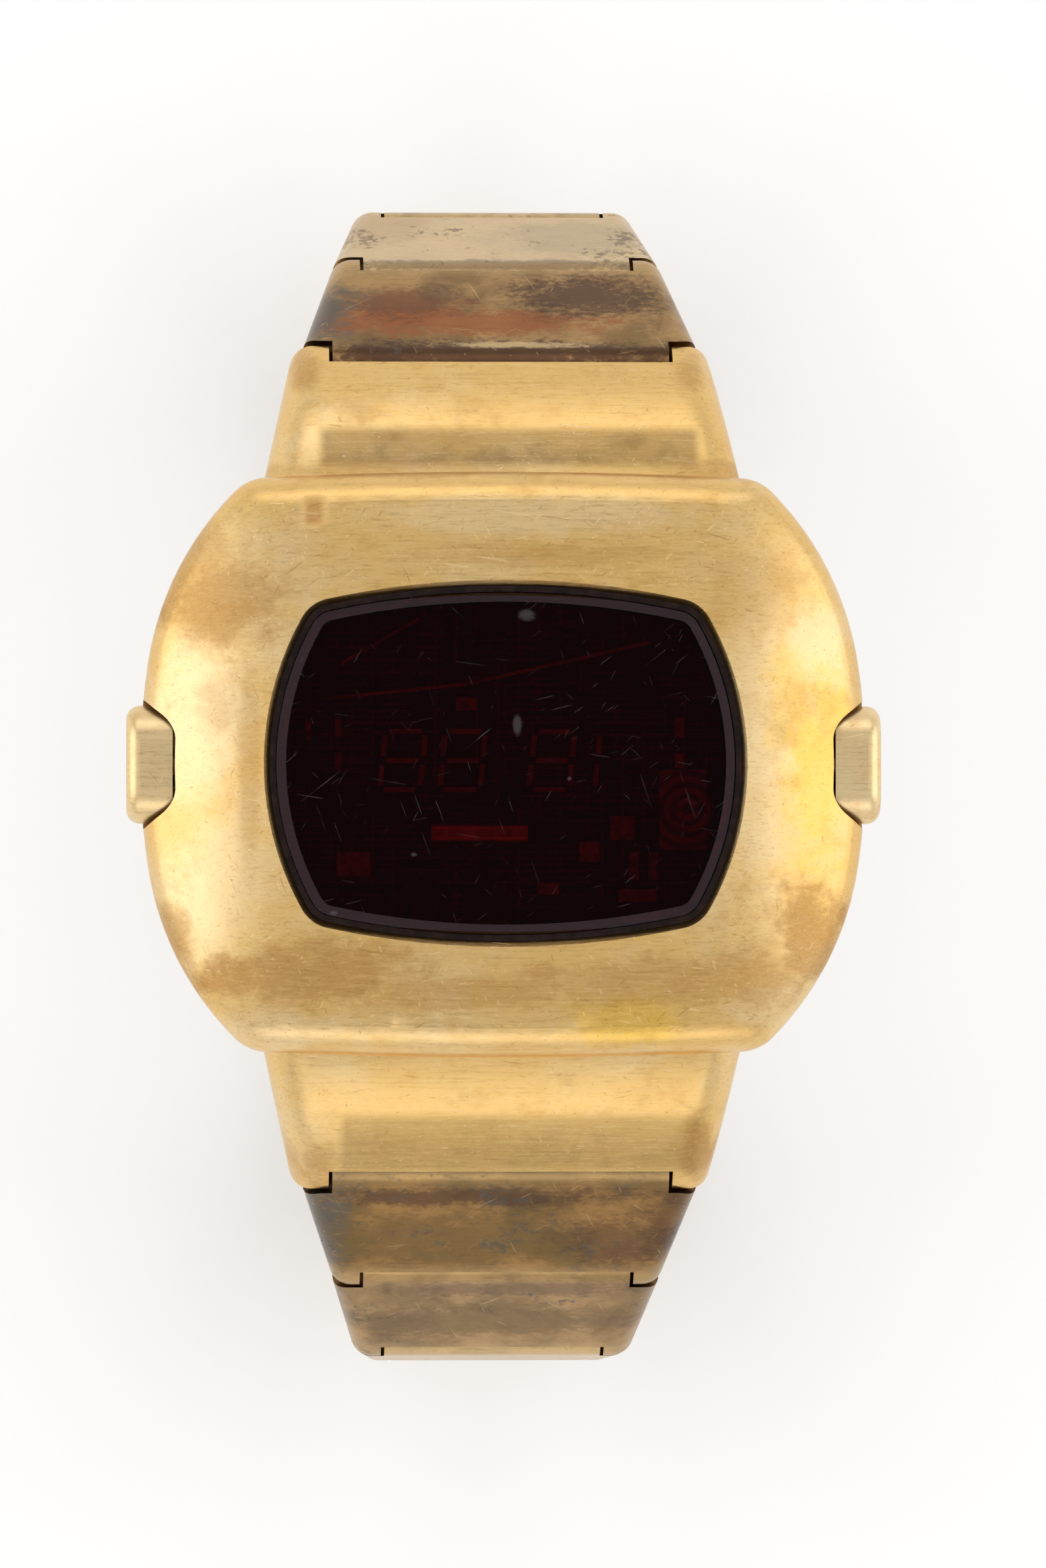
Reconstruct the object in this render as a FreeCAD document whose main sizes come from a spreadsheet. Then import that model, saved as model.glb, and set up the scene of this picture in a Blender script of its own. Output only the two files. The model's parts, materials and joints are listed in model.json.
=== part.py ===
import FreeCAD, Part
import math
import os

import Sketcher

# A cushion-cased LED wristwatch on a tapering link bracelet, standing on its closed clasp.
# Millimetres and degrees. Row frame: +X across the dial, +Y up the photograph, +Z out of the dial.
# The origin is on the clasp's flat outer face, straight under the middle of the case.
# The head is built about its girth, the plane where the cushion is widest, at z = 0 of its own frame.
# Each link is built about its own hinge pin: +Y along the bracelet, +Z to the outside of the loop.

DIMENSIONS = [
    # cushion outline, seen from the front
    ("case_width", 40.0),
    ("case_height", 32.2),
    ("side_radius", 38.0),
    ("side_reach", 5.5),
    ("shoulder_radius", 17.0),
    ("corner_radius", 2.6),
    ("end_radius", 300.0),
    # cushion profile
    ("crown_rise", 5.2),
    ("crown_radius", 100.0),
    ("crown_reach", 11.0),
    ("flank_radius", 18.0),
    ("lengthwise_radius", 60.0),
    ("case_drop", 4.6),
    ("top_edge_round", 2.1),
    ("bottom_edge_round", 1.8),
    # hooded lugs
    ("lug_root_width", 26.5),
    ("lug_tip_width", 23.0),
    ("lug_root_reach", 15.4),
    ("lug_root_rise", 0.3),
    ("lug_top_radius", 14.0),
    ("lug_ear_radius", 1.35),
    ("lug_pin_reach", 22.1),
    ("lug_pin_drop", 5.6),
    ("lug_bevel", 2.4),
    # window, crystal and module space
    ("window_width", 25.9),
    ("window_height", 19.5),
    ("window_side_radius", 16.0),
    ("window_end_radius", 46.0),
    ("window_corner", 1.8),
    ("window_bevel", 0.3),
    ("gasket_wall", 0.35),
    ("gasket_foot", 0.2),
    ("ledge_width", 0.95),
    ("ledge_rise", 2.4),
    ("crystal_rise", 4.75),
    ("crystal_bevel", 0.55),
    ("space_width", 29.0),
    ("space_height", 22.6),
    ("space_corner", 4.0),
    ("space_roof", 1.2),
    # case back, hatches and cells
    ("back_width", 32.8),
    ("back_height", 26.0),
    ("back_corner", 3.6),
    ("back_thickness", 1.8),
    ("back_round", 0.8),
    ("back_gasket_width", 0.7),
    ("back_gasket_thickness", 0.5),
    ("screw_radius", 0.5),
    ("screw_head_radius", 0.85),
    ("screw_head_height", 0.5),
    ("screw_length", 3.0),
    ("screw_reach_x", 14.6),
    ("screw_reach_y", 11.2),
    ("screw_slot", 0.25),
    ("cell_radius", 5.8),
    ("cell_cap_radius", 5.1),
    ("cell_cap_thickness", 0.6),
    ("cell_thickness", 4.2),
    ("cell_top", -0.1),
    ("cell_spacing", 14.4),
    ("cell_offset", 4.4),
    ("hatch_radius", 6.3),
    ("hatch_depth", 1.3),
    ("hatch_lip", 0.4),
    ("hatch_boss_radius", 5.3),
    ("hatch_boss_rise", 0.72),
    ("hatch_seal_wire", 0.25),
    ("hatch_slot_length", 8.0),
    ("hatch_slot_width", 1.3),
    ("hatch_slot_depth", 0.6),
    # buttons
    ("button_reach", 20.77),
    ("button_length", 6.5),
    ("button_height", 3.9),
    ("button_cap", 2.55),
    ("button_round", 0.75),
    ("button_gap", 0.3),
    ("button_travel", 0.8),
    ("slot_floor_reach", 17.05),
    ("stem_radius", 0.8),
    ("stem_clearance", 0.05),
    ("spring_pocket_radius", 1.5),
    ("spring_pocket_reach", 15.3),
    ("spring_seat_reach", 19.05),
    ("spring_radius", 1.16),
    ("spring_wire", 0.11),
    ("spring_coils", 4),
    ("button_magnet_radius", 1.1),
    ("button_magnet_thickness", 0.8),
    ("seal_radius", 1.15),
    ("seal_wire", 0.32),
    # bracelet
    ("link_pitch", 8.8),
    ("knuckle_radius", 1.5),
    ("band_width_0", 22.6),
    ("band_width_1", 18.9),
    ("band_width_2", 16.2),
    ("band_width_3", 15.0),
    ("ear_margin", 3.9),
    ("side_gap", 0.2),
    ("hinge_gap", 0.15),
    ("link_round", 1.25),
    ("link_skin", 0.7),
    ("link_side_wall", 0.8),
    ("link_end_wall", 0.6),
    ("pin_radius", 0.5),
    ("pin_fit", 0.01),
    ("pin_running_gap", 0.06),
    ("pin_recess", 0.05),
    ("slip", 0.02),
    ("upper_angle_1", 54.0),
    ("upper_angle_2", 68.0),
    ("upper_angle_3", 90.0),
    ("upper_angle_4", 110.0),
    ("upper_angle_5", 135.0),
    ("upper_angle_6", 160.0),
    ("lower_angle_1", 52.0),
    ("lower_angle_2", 61.0),
    ("lower_angle_3", 86.0),
    ("lower_angle_4", 110.0),
    ("lower_angle_5", 136.0),
    # clasp
    ("clasp_width", 16.0),
    ("clasp_outside", 1.9),
    ("clasp_inside", 1.7),
    ("clasp_neck", 2.0),
    ("clasp_end_gap", 2.1),
    ("clasp_round", 0.9),
    ("clasp_lid_thickness", 0.7),
    ("clasp_lid_width", 12.6),
    ("clasp_lid_start", 8.0),
    ("clasp_gap", 0.3),
    ("tongue_length", 9.0),
    ("tongue_slot_depth", 2.0),
    ("catch_width", 8.0),
    ("catch_length", 7.0),
    ("catch_low", -0.8),
    ("catch_thickness", 1.2),
    ("catch_wing_start", 0.6),
    ("catch_wing_length", 3.0),
    ("catch_wing_width", 17.0),
    ("catch_travel", 1.6),
    ("bore_radius", 1.25),
    ("bore_depth", 14.5),
    ("magnet_radius", 1.15),
    ("magnet_length", 13.4),
    ("magnet_offset", 6.0),
    # display module
    ("frame_gap", 0.25),
    ("board_thickness", 0.6),
    ("board_width", 25.0),
    ("board_height", 21.4),
    ("board_corner", 3.0),
    ("board_top", 1.1),
    ("frame_top", 0.45),
    ("frame_low", -4.0),
    ("well_gap", 0.1),
    ("contact_radius", 2.0),
    ("contact_thickness", 0.18),
    ("digit_width", 2.2),
    ("digit_height", 3.2),
    ("digit_stroke", 0.28),
    ("digit_slant", 0.32),
    ("digit_rise", 0.25),
    ("display_row", 0.2),
    ("board_bottom", 0.5),
    ("magnet_bay_width", 3.8),
    ("magnet_bay_height", 3.0),
    ("magnet_bay_depth", 1.4),
    ("reed_radius", 0.5),
    ("reed_length", 7.0),
    ("reed_reach", 11.2),
    ("reed_middle", 5.6),
    ("chip_width", 9.0),
    ("chip_height", 5.0),
    ("chip_thickness", 1.2),
    ("chip_offset", 6.4),
    ("can_radius", 0.6),
    ("can_length", 5.3),
    ("can_x", -1.4),
    ("can_y", -3.8),
    ("trimmer_x", 10.3),
    ("trimmer_y", -2.5),
    ("trimmer_shift", 0.5),
    ("trimmer_radius", 1.2),
    ("trimmer_rise", 0.6),
    ("trimmer_panel_width", 2.6),
    ("trimmer_panel_height", 4.4),
    ("trimmer_panel_rise", 0.3),
    ("chip_part_rise", 0.45),
    ("wire_width", 0.18),
    ("wire_thickness", 0.12),
]

# Where the digits stand along the row, from left to right, and the tens digit that shows only a one.
DIGIT_CENTRES = (-5.6, -2.3, 2.6)
TENS_CENTRE = 6.2

# Chip components on the board: middle x, middle y, width, height.
CHIP_PARTS = (
    (-8.3, -5.5, 1.85, 1.3),
    (-2.1, 3.3, 1.15, 0.7),
    (6.45, -3.5, 1.3, 1.3),
    (7.1, -5.6, 0.5, 1.5),
    (8.15, -5.6, 0.5, 1.5),
    (7.3, -7.2, 2.1, 0.7),
    (2.4, -6.85, 1.15, 0.65),
    (4.65, -4.8, 1.1, 1.1),
    (9.6, 2.0, 0.5, 1.1),
    (9.6, 0.2, 0.5, 0.85),
    (-10.8, 1.9, 0.3, 1.2),
    (-9.15, 2.0, 0.35, 0.95),
    (-9.15, 0.15, 0.35, 0.95),
)

# Fine wires that cross the board, as the (x, y) of their ends and bends.
WIRE_ROUTES = (
    ((-9.7, 3.6), (-2.1, 4.4), (8.0, 6.7)),
    ((-9.0, 5.5), (-4.7, 8.0)),
)

LINK_COUNT = 6
LINK_SHAPES = 4
SHEET_NAME = "dims"
ENDS = ((1, "upper"), (-1, "lower"))
BUTTON_SIDES = ((1, "right"), (-1, "left"))
CROWN_SWEEP = 50


class Size:
    """A number together with the sheet formula that gives it."""

    def __init__(self, value, formula):
        self.value = float(value)
        self.formula = formula

    def combined(self, other, sign, value):
        formula = other.formula if isinstance(other, Size) else repr(float(other))
        return Size(value, "(" + self.formula + " " + sign + " " + formula + ")")

    def __add__(self, other):
        return self.combined(other, "+", self.value + float(other))

    def __sub__(self, other):
        return self.combined(other, "-", self.value - float(other))

    def __mul__(self, other):
        return self.combined(other, "*", self.value * float(other))

    def __truediv__(self, other):
        return self.combined(other, "/", self.value / float(other))

    def __neg__(self):
        return Size(-self.value, "(-1 * " + self.formula + ")")

    def __radd__(self, other):
        return self + other

    def __rsub__(self, other):
        return -self + other

    def __rmul__(self, other):
        return self * other

    def __float__(self):
        return self.value


document = FreeCAD.newDocument("led_watch")
sheet = document.addObject("Spreadsheet::Sheet", SHEET_NAME)
for row, (alias, number) in enumerate(DIMENSIONS, start=1):
    sheet.set("A%d" % row, alias)
    sheet.set("B%d" % row, str(number))
    sheet.setAlias("B%d" % row, alias)
document.recompute()

NUMBERS = dict(DIMENSIONS)
nodes = {}


def dim(alias):
    return Size(NUMBERS[alias], SHEET_NAME + "." + alias)


def bind(item, prop, size):
    """Set a property, bound to the sheet where the size comes from it."""
    if isinstance(size, Size):
        item.setExpression(prop, size.formula)
    else:
        setattr(item, prop, size)


def keep(item, label, placement=None):
    """Name a finished piece and put it in its place."""
    item.Label = label
    if placement is not None:
        item.Placement = placement
    nodes[label] = item
    return item


# Sketch geometry. Every corner and centre is dimensioned from the sketch's origin.

ORIGIN = (-1, 1)
X_AXIS = -1
Y_AXIS = -2
START = 1
END = 2
CENTRE = 3


def new_body(name):
    return document.addObject("PartDesign::Body", "body_" + name)


def new_sketch(body, name, plane, offset=None):
    """A sketch on one of the body's origin planes, moved along its normal by offset."""
    sketch = body.newObject("Sketcher::SketchObject", name)
    support = [feature for feature in body.Origin.OriginFeatures if feature.Role == plane][0]
    sketch.AttachmentSupport = [(support, "")]
    sketch.MapMode = "FlatFace"
    if offset is not None:
        sketch.setExpression("AttachmentOffset.Base.z", offset.formula)
    return sketch


def pin_point(sketch, geometry, position, x, y):
    """Dimension one vertex of a sketch from its origin."""
    spots = ((x, "DistanceX", Y_AXIS), (y, "DistanceY", X_AXIS))
    for size, kind, axis in spots:
        if abs(float(size)) < 1e-9:
            sketch.addConstraint(Sketcher.Constraint("PointOnObject", geometry, position, axis))
            continue
        rule = Sketcher.Constraint(kind, ORIGIN[0], ORIGIN[1], geometry, position, float(size))
        index = sketch.addConstraint(rule)
        if isinstance(size, Size):
            sketch.setExpression("Constraints[%d]" % index, size.formula)


def set_radius(sketch, geometry, radius):
    index = sketch.addConstraint(Sketcher.Constraint("Radius", geometry, float(radius)))
    if isinstance(radius, Size):
        sketch.setExpression("Constraints[%d]" % index, radius.formula)


def vector(x, y):
    return FreeCAD.Vector(float(x), float(y), 0)


def polygon(sketch, corners):
    """A closed outline of straight lines."""
    count = len(corners)
    first = sketch.GeometryCount
    for index in range(count):
        start = vector(*corners[index])
        end = vector(*corners[(index + 1) % count])
        sketch.addGeometry(Part.LineSegment(start, end))
    for index in range(count):
        following = first + (index + 1) % count
        rule = Sketcher.Constraint("Coincident", first + index, END, following, START)
        sketch.addConstraint(rule)
    for index, (x, y) in enumerate(corners):
        pin_point(sketch, first + index, START, x, y)


def box_outline(sketch, left, right, bottom, top):
    polygon(sketch, [(left, bottom), (right, bottom), (right, top), (left, top)])


def circle(sketch, x, y, radius):
    normal = FreeCAD.Vector(0, 0, 1)
    index = sketch.addGeometry(Part.Circle(vector(x, y), normal, float(radius)))
    pin_point(sketch, index, CENTRE, x, y)
    set_radius(sketch, index, radius)


def bounded_outline(sketch, pieces):
    """A closed outline of lines and arcs.

    Each piece is ("line", x, y) or ("arc", x, y, radius, centre_x, centre_y): it runs from the last
    piece's end to (x, y). An arc turns the short way about its centre.
    """
    first = sketch.GeometryCount
    count = len(pieces)
    for index, piece in enumerate(pieces):
        start = vector(pieces[index - 1][1], pieces[index - 1][2])
        end = vector(piece[1], piece[2])
        if piece[0] == "line":
            sketch.addGeometry(Part.LineSegment(start, end))
            continue
        sketch.addGeometry(short_arc(vector(piece[4], piece[5]), float(piece[3]), start, end))
    ends = [far_end(sketch.Geometry[first + index], piece) for index, piece in enumerate(pieces)]
    rules = []
    for index in range(count):
        following = (index + 1) % count
        next_start = START if ends[following] == END else END
        rules.append(Sketcher.Constraint("Coincident", first + index, ends[index],
                                         first + following, next_start))
    sketch.addConstraint(rules)
    for index, piece in enumerate(pieces):
        pin_point(sketch, first + index, ends[index], piece[1], piece[2])
        if piece[0] == "arc":
            set_radius(sketch, first + index, piece[3])


def short_arc(centre, radius, start, end):
    """The arc under half a turn between two points, always drawn anticlockwise."""
    first = math.atan2(start.y - centre.y, start.x - centre.x)
    last = math.atan2(end.y - centre.y, end.x - centre.x)
    sweep = (last - first) % (2 * math.pi)
    if sweep > math.pi:
        first = last
        sweep = 2 * math.pi - sweep
    whole = Part.Circle(centre, FreeCAD.Vector(0, 0, 1), radius)
    return Part.ArcOfCircle(whole, first, first + sweep)


def far_end(shape, piece):
    """Which end of a line or arc is the one where its piece ends: arcs may be stored reversed."""
    goal = vector(piece[1], piece[2])
    return END if (shape.EndPoint - goal).Length < (shape.StartPoint - goal).Length else START


def circles_meet(first, first_radius, second, second_radius, side):
    """Where two circles cross, on the left (1) or right (-1) of the line from first to second."""
    across = (second[0] - first[0], second[1] - first[1])
    gap = math.hypot(*across)
    along = (first_radius ** 2 - second_radius ** 2 + gap ** 2) / (2 * gap)
    height = side * math.sqrt(first_radius ** 2 - along ** 2)
    unit = (across[0] / gap, across[1] / gap)
    return (first[0] + along * unit[0] - height * unit[1],
            first[1] + along * unit[1] + height * unit[0])


def further_from(centre, beyond, radius):
    """The point at radius from centre on the line from centre through beyond."""
    gap = math.hypot(beyond[0] - centre[0], beyond[1] - centre[1])
    return (centre[0] + (beyond[0] - centre[0]) * radius / gap,
            centre[1] + (beyond[1] - centre[1]) * radius / gap)


def quarter_arcs(half_width, half_height, side_radius, end_radius, corner_radius, shoulder=None):
    """Centres, radii and joints of one quarter of a barrel outline, from its side to its end.

    The shoulder is (radius, reach): a rounder arc that takes over from the side arc at that height.
    """
    side_centre = (float(half_width) - float(side_radius), 0.0)
    end_centre = (0.0, float(half_height) - float(end_radius))
    arcs = [(side_centre, side_radius)]
    joints = []
    last_centre = side_centre
    last_radius = float(side_radius)
    if shoulder is not None:
        radius, reach = float(shoulder[0]), float(shoulder[1])
        joint = (side_centre[0] + math.sqrt(last_radius ** 2 - reach ** 2), reach)
        last_centre = further_from(joint, side_centre, radius)
        last_radius = radius
        joints.append(joint)
        arcs.append((last_centre, shoulder[0]))
    corner = float(corner_radius)
    corner_centre = circles_meet(last_centre, last_radius - corner,
                                 end_centre, float(end_radius) - corner, 1)
    joints.append(further_from(last_centre, corner_centre, last_radius))
    arcs.append((corner_centre, corner_radius))
    joints.append(further_from(end_centre, corner_centre, float(end_radius)))
    return arcs, joints, (end_centre, end_radius)


def barrel_outline(sketch, half_width, half_height, side_radius, end_radius, corner_radius, shoulder=None):
    """A closed barrel outline: bowed sides and ends, rounded corners, alike in all four quarters."""
    arcs, joints, end_arc = quarter_arcs(half_width, half_height, side_radius, end_radius,
                                         corner_radius, shoulder)
    quarters = [(1, 1, False), (-1, 1, True), (-1, -1, False), (1, -1, True)]
    pieces = []
    for flip_x, flip_y, reverse in quarters:
        quarter_joints = list(reversed(joints)) if reverse else joints
        quarter_mid = list(reversed(arcs[1:])) if reverse else arcs[1:]
        opening = end_arc if reverse else arcs[0]
        for index, joint in enumerate(quarter_joints):
            centre, radius = opening if index == 0 else quarter_mid[index - 1]
            if index == 0:
                flips = (1, flip_y) if reverse else (flip_x, 1)
            else:
                flips = (flip_x, flip_y)
            pieces.append(("arc", flip_x * joint[0], flip_y * joint[1], radius,
                           flips[0] * centre[0], flips[1] * centre[1]))
    bounded_outline(sketch, pieces)


def rounded_box(sketch, width, height, corner):
    """A rectangle with round corners about the sketch's origin."""
    x = width / 2
    y = height / 2
    inner_x = x - corner
    inner_y = y - corner
    pieces = []
    for sign_x, sign_y, x_first in ((1, 1, True), (-1, 1, False), (-1, -1, True), (1, -1, False)):
        side = (x * sign_x, inner_y * sign_y)
        end = (inner_x * sign_x, y * sign_y)
        start, stop = (side, end) if x_first else (end, side)
        pieces.append(("line",) + start)
        pieces.append(("arc",) + stop + (corner, inner_x * sign_x, inner_y * sign_y))
    bounded_outline(sketch, pieces)


# Features. Each one is checked to have added or removed material.

def settle(body, feature, grows, before):
    document.recompute()
    after = body.Shape.Volume
    if (grows and after <= before) or (not grows and after >= before):
        raise RuntimeError(feature.Name + " changes nothing: " + feature.getStatusString())
    return feature


def volume_of(body):
    document.recompute()
    shape = body.Shape
    return 0.0 if shape.isNull() else shape.Volume


def pad(body, sketch, length, midplane=False, reverse=False):
    before = volume_of(body)
    feature = body.newObject("PartDesign::Pad", sketch.Name + "_pad")
    feature.Profile = sketch
    bind(feature, "Length", length)
    feature.Midplane = midplane
    feature.Reversed = reverse
    return settle(body, feature, True, before)


def pocket(body, sketch, depth, midplane=False, reverse=False):
    """Cut a sketch into the body, down its normal unless reversed."""
    before = volume_of(body)
    feature = body.newObject("PartDesign::Pocket", sketch.Name + "_cut")
    feature.Profile = sketch
    bind(feature, "Length", depth)
    feature.Midplane = midplane
    feature.Reversed = reverse
    return settle(body, feature, False, before)


def picked_edges(shape, chosen):
    """Names of the edges that a test picks by their middle point and the normals beside them."""
    names = []
    for index, edge in enumerate(shape.Edges, start=1):
        middle = edge.valueAt((edge.FirstParameter + edge.LastParameter) / 2)
        normals = []
        for face in shape.ancestorsOfType(edge, Part.Face):
            normals.append(face.normalAt(*face.Surface.parameter(middle)))
        if len(normals) == 2 and chosen(middle, normals):
            names.append("Edge%d" % index)
    return names


def round_edges(body, name, radius, chosen):
    """Fillet the edges of the body's last feature that the test picks."""
    document.recompute()
    base = body.Tip
    before = body.Shape.Volume
    feature = body.newObject("PartDesign::Fillet", name)
    feature.Base = (base, picked_edges(base.Shape, chosen))
    bind(feature, "Radius", radius)
    return settle(body, feature, False, before)


def bevel_edges(body, name, size, chosen):
    document.recompute()
    base = body.Tip
    before = body.Shape.Volume
    feature = body.newObject("PartDesign::Chamfer", name)
    feature.Base = (base, picked_edges(base.Shape, chosen))
    bind(feature, "Size", size)
    return settle(body, feature, False, before)


def upright(normal):
    return abs(normal.z) < 0.02


# Where the bracelet lies. Angles are measured down from the dial plane, outwards from the head.

def chain_pins(angles, start, side):
    """The hinge pins of one half of the bracelet in the row's (y, z), from the lug to the clasp."""
    pins = [start]
    pitch = float(dim("link_pitch"))
    for angle in angles:
        y, z = pins[-1]
        turn = math.radians(angle)
        pins.append((y + side * pitch * math.cos(turn), z - pitch * math.sin(turn)))
    return pins


def closing_angle(angles, wanted_drop):
    """The last lower link's angle, which brings its end pin level with the upper half's."""
    pitch = float(dim("link_pitch"))
    missing = wanted_drop / pitch - sum(math.sin(math.radians(angle)) for angle in angles)
    return 180 - math.degrees(math.asin(missing))


upper_angles = [float(dim("upper_angle_%d" % number)) for number in range(1, LINK_COUNT + 1)]
chain_drop = float(dim("link_pitch")) * sum(math.sin(math.radians(angle)) for angle in upper_angles)
lower_angles = [float(dim("lower_angle_%d" % number)) for number in range(1, LINK_COUNT)]
lower_angles.append(closing_angle(lower_angles, chain_drop))

girth_height = float(dim("clasp_outside")) + chain_drop + float(dim("lug_pin_drop"))
lug_pin_height = girth_height - float(dim("lug_pin_drop"))
upper_pins = chain_pins(upper_angles, (float(dim("lug_pin_reach")), lug_pin_height), 1)
lower_pins = chain_pins(lower_angles, (-float(dim("lug_pin_reach")), lug_pin_height), -1)
clasp_span = upper_pins[-1][0] - lower_pins[-1][0]

HEAD_PLACE = FreeCAD.Placement(FreeCAD.Vector(0, 0, girth_height), FreeCAD.Rotation())


def along_chain(pin, angle, side):
    """The place of a piece that hangs on a pin and lies at an angle, on the +Y or -Y half."""
    turn = FreeCAD.Rotation(FreeCAD.Vector(1, 0, 0), -side * angle)
    if side < 0:
        turn = turn.multiply(FreeCAD.Rotation(FreeCAD.Vector(0, 0, 1), 180))
    return FreeCAD.Placement(FreeCAD.Vector(0, pin[0], pin[1]), turn)


# The case: a cushion shell with hooded lugs, open at the window and at the back.

def cushion(sketch, inset=0.0):
    barrel_outline(sketch, dim("case_width") / 2 - inset, dim("case_height") / 2 - inset,
                   dim("side_radius"), dim("end_radius"), dim("corner_radius"),
                   (dim("shoulder_radius"), dim("side_reach")))


def window(sketch, inset):
    """The window's outline, drawn in by inset all round."""
    barrel_outline(sketch, dim("window_width") / 2 - inset, dim("window_height") / 2 - inset,
                   dim("window_side_radius") - inset, dim("window_end_radius") - inset,
                   dim("window_corner") - inset)


def lug_arc():
    """The lug's top arc in (y, z): its centre, its start at the cushion and its end on the ear."""
    root = (float(dim("lug_root_reach")), float(dim("lug_root_rise")))
    pin = (float(dim("lug_pin_reach")), -float(dim("lug_pin_drop")))
    top = float(dim("lug_top_radius"))
    ear = float(dim("lug_ear_radius"))
    centre = circles_meet(root, top, pin, top - ear, -1)
    return centre, root, further_from(centre, pin, top), pin


def lug_block_profile(sketch):
    """Both lugs and the block between them, seen from the side, before the underside is shaped."""
    centre, root, meet, pin = lug_arc()
    top = dim("lug_top_radius")
    tip = pin[0] + float(dim("lug_ear_radius"))
    tip_z = centre[1] + math.sqrt(float(top) ** 2 - (tip - centre[0]) ** 2)
    low = -dim("lug_pin_drop") * 2
    bounded_outline(sketch, [
        ("line", dim("lug_root_reach"), dim("lug_root_rise")),
        ("arc", tip, tip_z, top, centre[0], centre[1]),
        ("line", tip, low),
        ("line", -tip, low),
        ("line", -tip, tip_z),
        ("arc", -dim("lug_root_reach"), dim("lug_root_rise"), top, -centre[0], centre[1]),
    ])


def lug_underside(sketch):
    """All that lies under the lugs and round the ends of their ears."""
    centre, root, meet, pin = lug_arc()
    ear = dim("lug_ear_radius")
    pin_y = dim("lug_pin_reach")
    ear_low = -dim("lug_pin_drop") - ear
    far = dim("case_width")
    bounded_outline(sketch, [
        ("line", meet[0], meet[1]),
        ("arc", pin_y, ear_low, ear, pin[0], pin[1]),
        ("line", dim("lug_root_reach"), -dim("case_drop")),
        ("line", -dim("lug_root_reach"), -dim("case_drop")),
        ("line", -pin_y, ear_low),
        ("arc", -meet[0], meet[1], ear, -pin[0], pin[1]),
        ("line", -far, meet[1]),
        ("line", -far, -far),
        ("line", far, -far),
        ("line", far, meet[1]),
    ])


def on_lug_corner(point, normals):
    """The long edges between a lug's arched top and its tapered sides."""
    if abs(point.y) < float(dim("lug_root_reach")) + 0.1:
        return False
    rising = [normal.z > 0.3 for normal in normals]
    flat_x = [abs(normal.x) > 0.9 for normal in normals]
    return sorted(rising) == [False, True] and sorted(flat_x) == [False, True]


def build_lugs():
    """Both hooded lugs and the block between them, tapered and soft-cornered."""
    body = new_body("lugs")
    profile = new_sketch(body, "lug_profile", "YZ_Plane")
    lug_block_profile(profile)
    pad(body, profile, dim("lug_root_width"), midplane=True)
    tip_reach = dim("lug_pin_reach") + dim("lug_ear_radius")
    outside = dim("case_width")
    for side, end_name in ENDS:
        for flip, side_name in BUTTON_SIDES:
            taper = new_sketch(body, "lug_taper_%s_%s" % (end_name, side_name), "XY_Plane")
            polygon(taper, [
                (dim("lug_root_width") / 2 * flip, dim("lug_root_reach") * side),
                (dim("lug_tip_width") / 2 * flip, tip_reach * side),
                (dim("lug_tip_width") / 2 * flip, outside * side),
                (outside * flip, outside * side),
                (outside * flip, dim("lug_root_reach") * side),
            ])
            pocket(body, taper, outside * 2, midplane=True)
    round_edges(body, "lug_corners", dim("lug_bevel"), on_lug_corner)
    underside = new_sketch(body, "lug_underside", "YZ_Plane")
    lug_underside(underside)
    pocket(body, underside, outside, midplane=True)
    return body


def on_cushion_rim(point, normals):
    """Edges between the crown and the cushion's upright side."""
    if point.z < -float(dim("case_drop")) / 2:
        return False
    return sorted(upright(normal) for normal in normals) == [False, True]


def on_cushion_foot(point, normals):
    """Edges between the cushion's upright side and its flat underside."""
    if abs(point.z + float(dim("case_drop"))) > 0.01:
        return False
    return sorted(upright(normal) for normal in normals) == [False, True]


def on_window_rim(point, normals):
    """Edges between the crown and the window's upright wall."""
    inside = abs(point.x) < float(dim("window_width")) / 2 + 0.05
    inside = inside and abs(point.y) < float(dim("window_height")) / 2 + 0.05
    if not inside or point.z < float(dim("ledge_rise")) + 0.5:
        return False
    return sorted(upright(normal) for normal in normals) == [False, True]


def crown_cut(body):
    """Cut away all above the crown: a shouldered profile turned about an axis along X."""
    reach = float(dim("crown_reach"))
    crown = dim("crown_radius")
    flank = dim("flank_radius")
    rise = dim("crown_rise")
    edge = float(dim("case_width")) / 2 + float(dim("hinge_gap"))
    lean = math.asin(reach / float(crown))
    join_z = float(rise) - float(crown) * (1 - math.cos(lean))
    flank_x = reach - float(flank) * math.sin(lean)
    flank_z = join_z - float(flank) * math.cos(lean)
    edge_z = flank_z + math.sqrt(float(flank) ** 2 - (edge - flank_x) ** 2)
    above = rise * 3
    wide = dim("case_width")
    profile = new_sketch(body, "crown_profile", "XZ_Plane")
    bounded_outline(profile, [
        ("arc", -reach, join_z, flank, -flank_x, flank_z),
        ("arc", reach, join_z, crown, 0.0, float(rise) - float(crown)),
        ("arc", edge, edge_z, flank, flank_x, flank_z),
        ("line", wide, edge_z),
        ("line", wide, above),
        ("line", -wide, above),
        ("line", -wide, edge_z),
        ("line", -edge, edge_z),
    ])
    axis_z = rise - dim("lengthwise_radius")
    axis = profile.addGeometry(Part.LineSegment(vector(-edge, axis_z), vector(edge, axis_z)), True)
    pin_point(profile, axis, START, -edge, axis_z)
    pin_point(profile, axis, END, edge, axis_z)
    before = volume_of(body)
    groove = body.newObject("PartDesign::Groove", "crown")
    groove.Profile = profile
    groove.ReferenceAxis = (profile, ["Axis0"])
    groove.Angle = CROWN_SWEEP
    groove.Midplane = True
    settle(body, groove, False, before)


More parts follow.
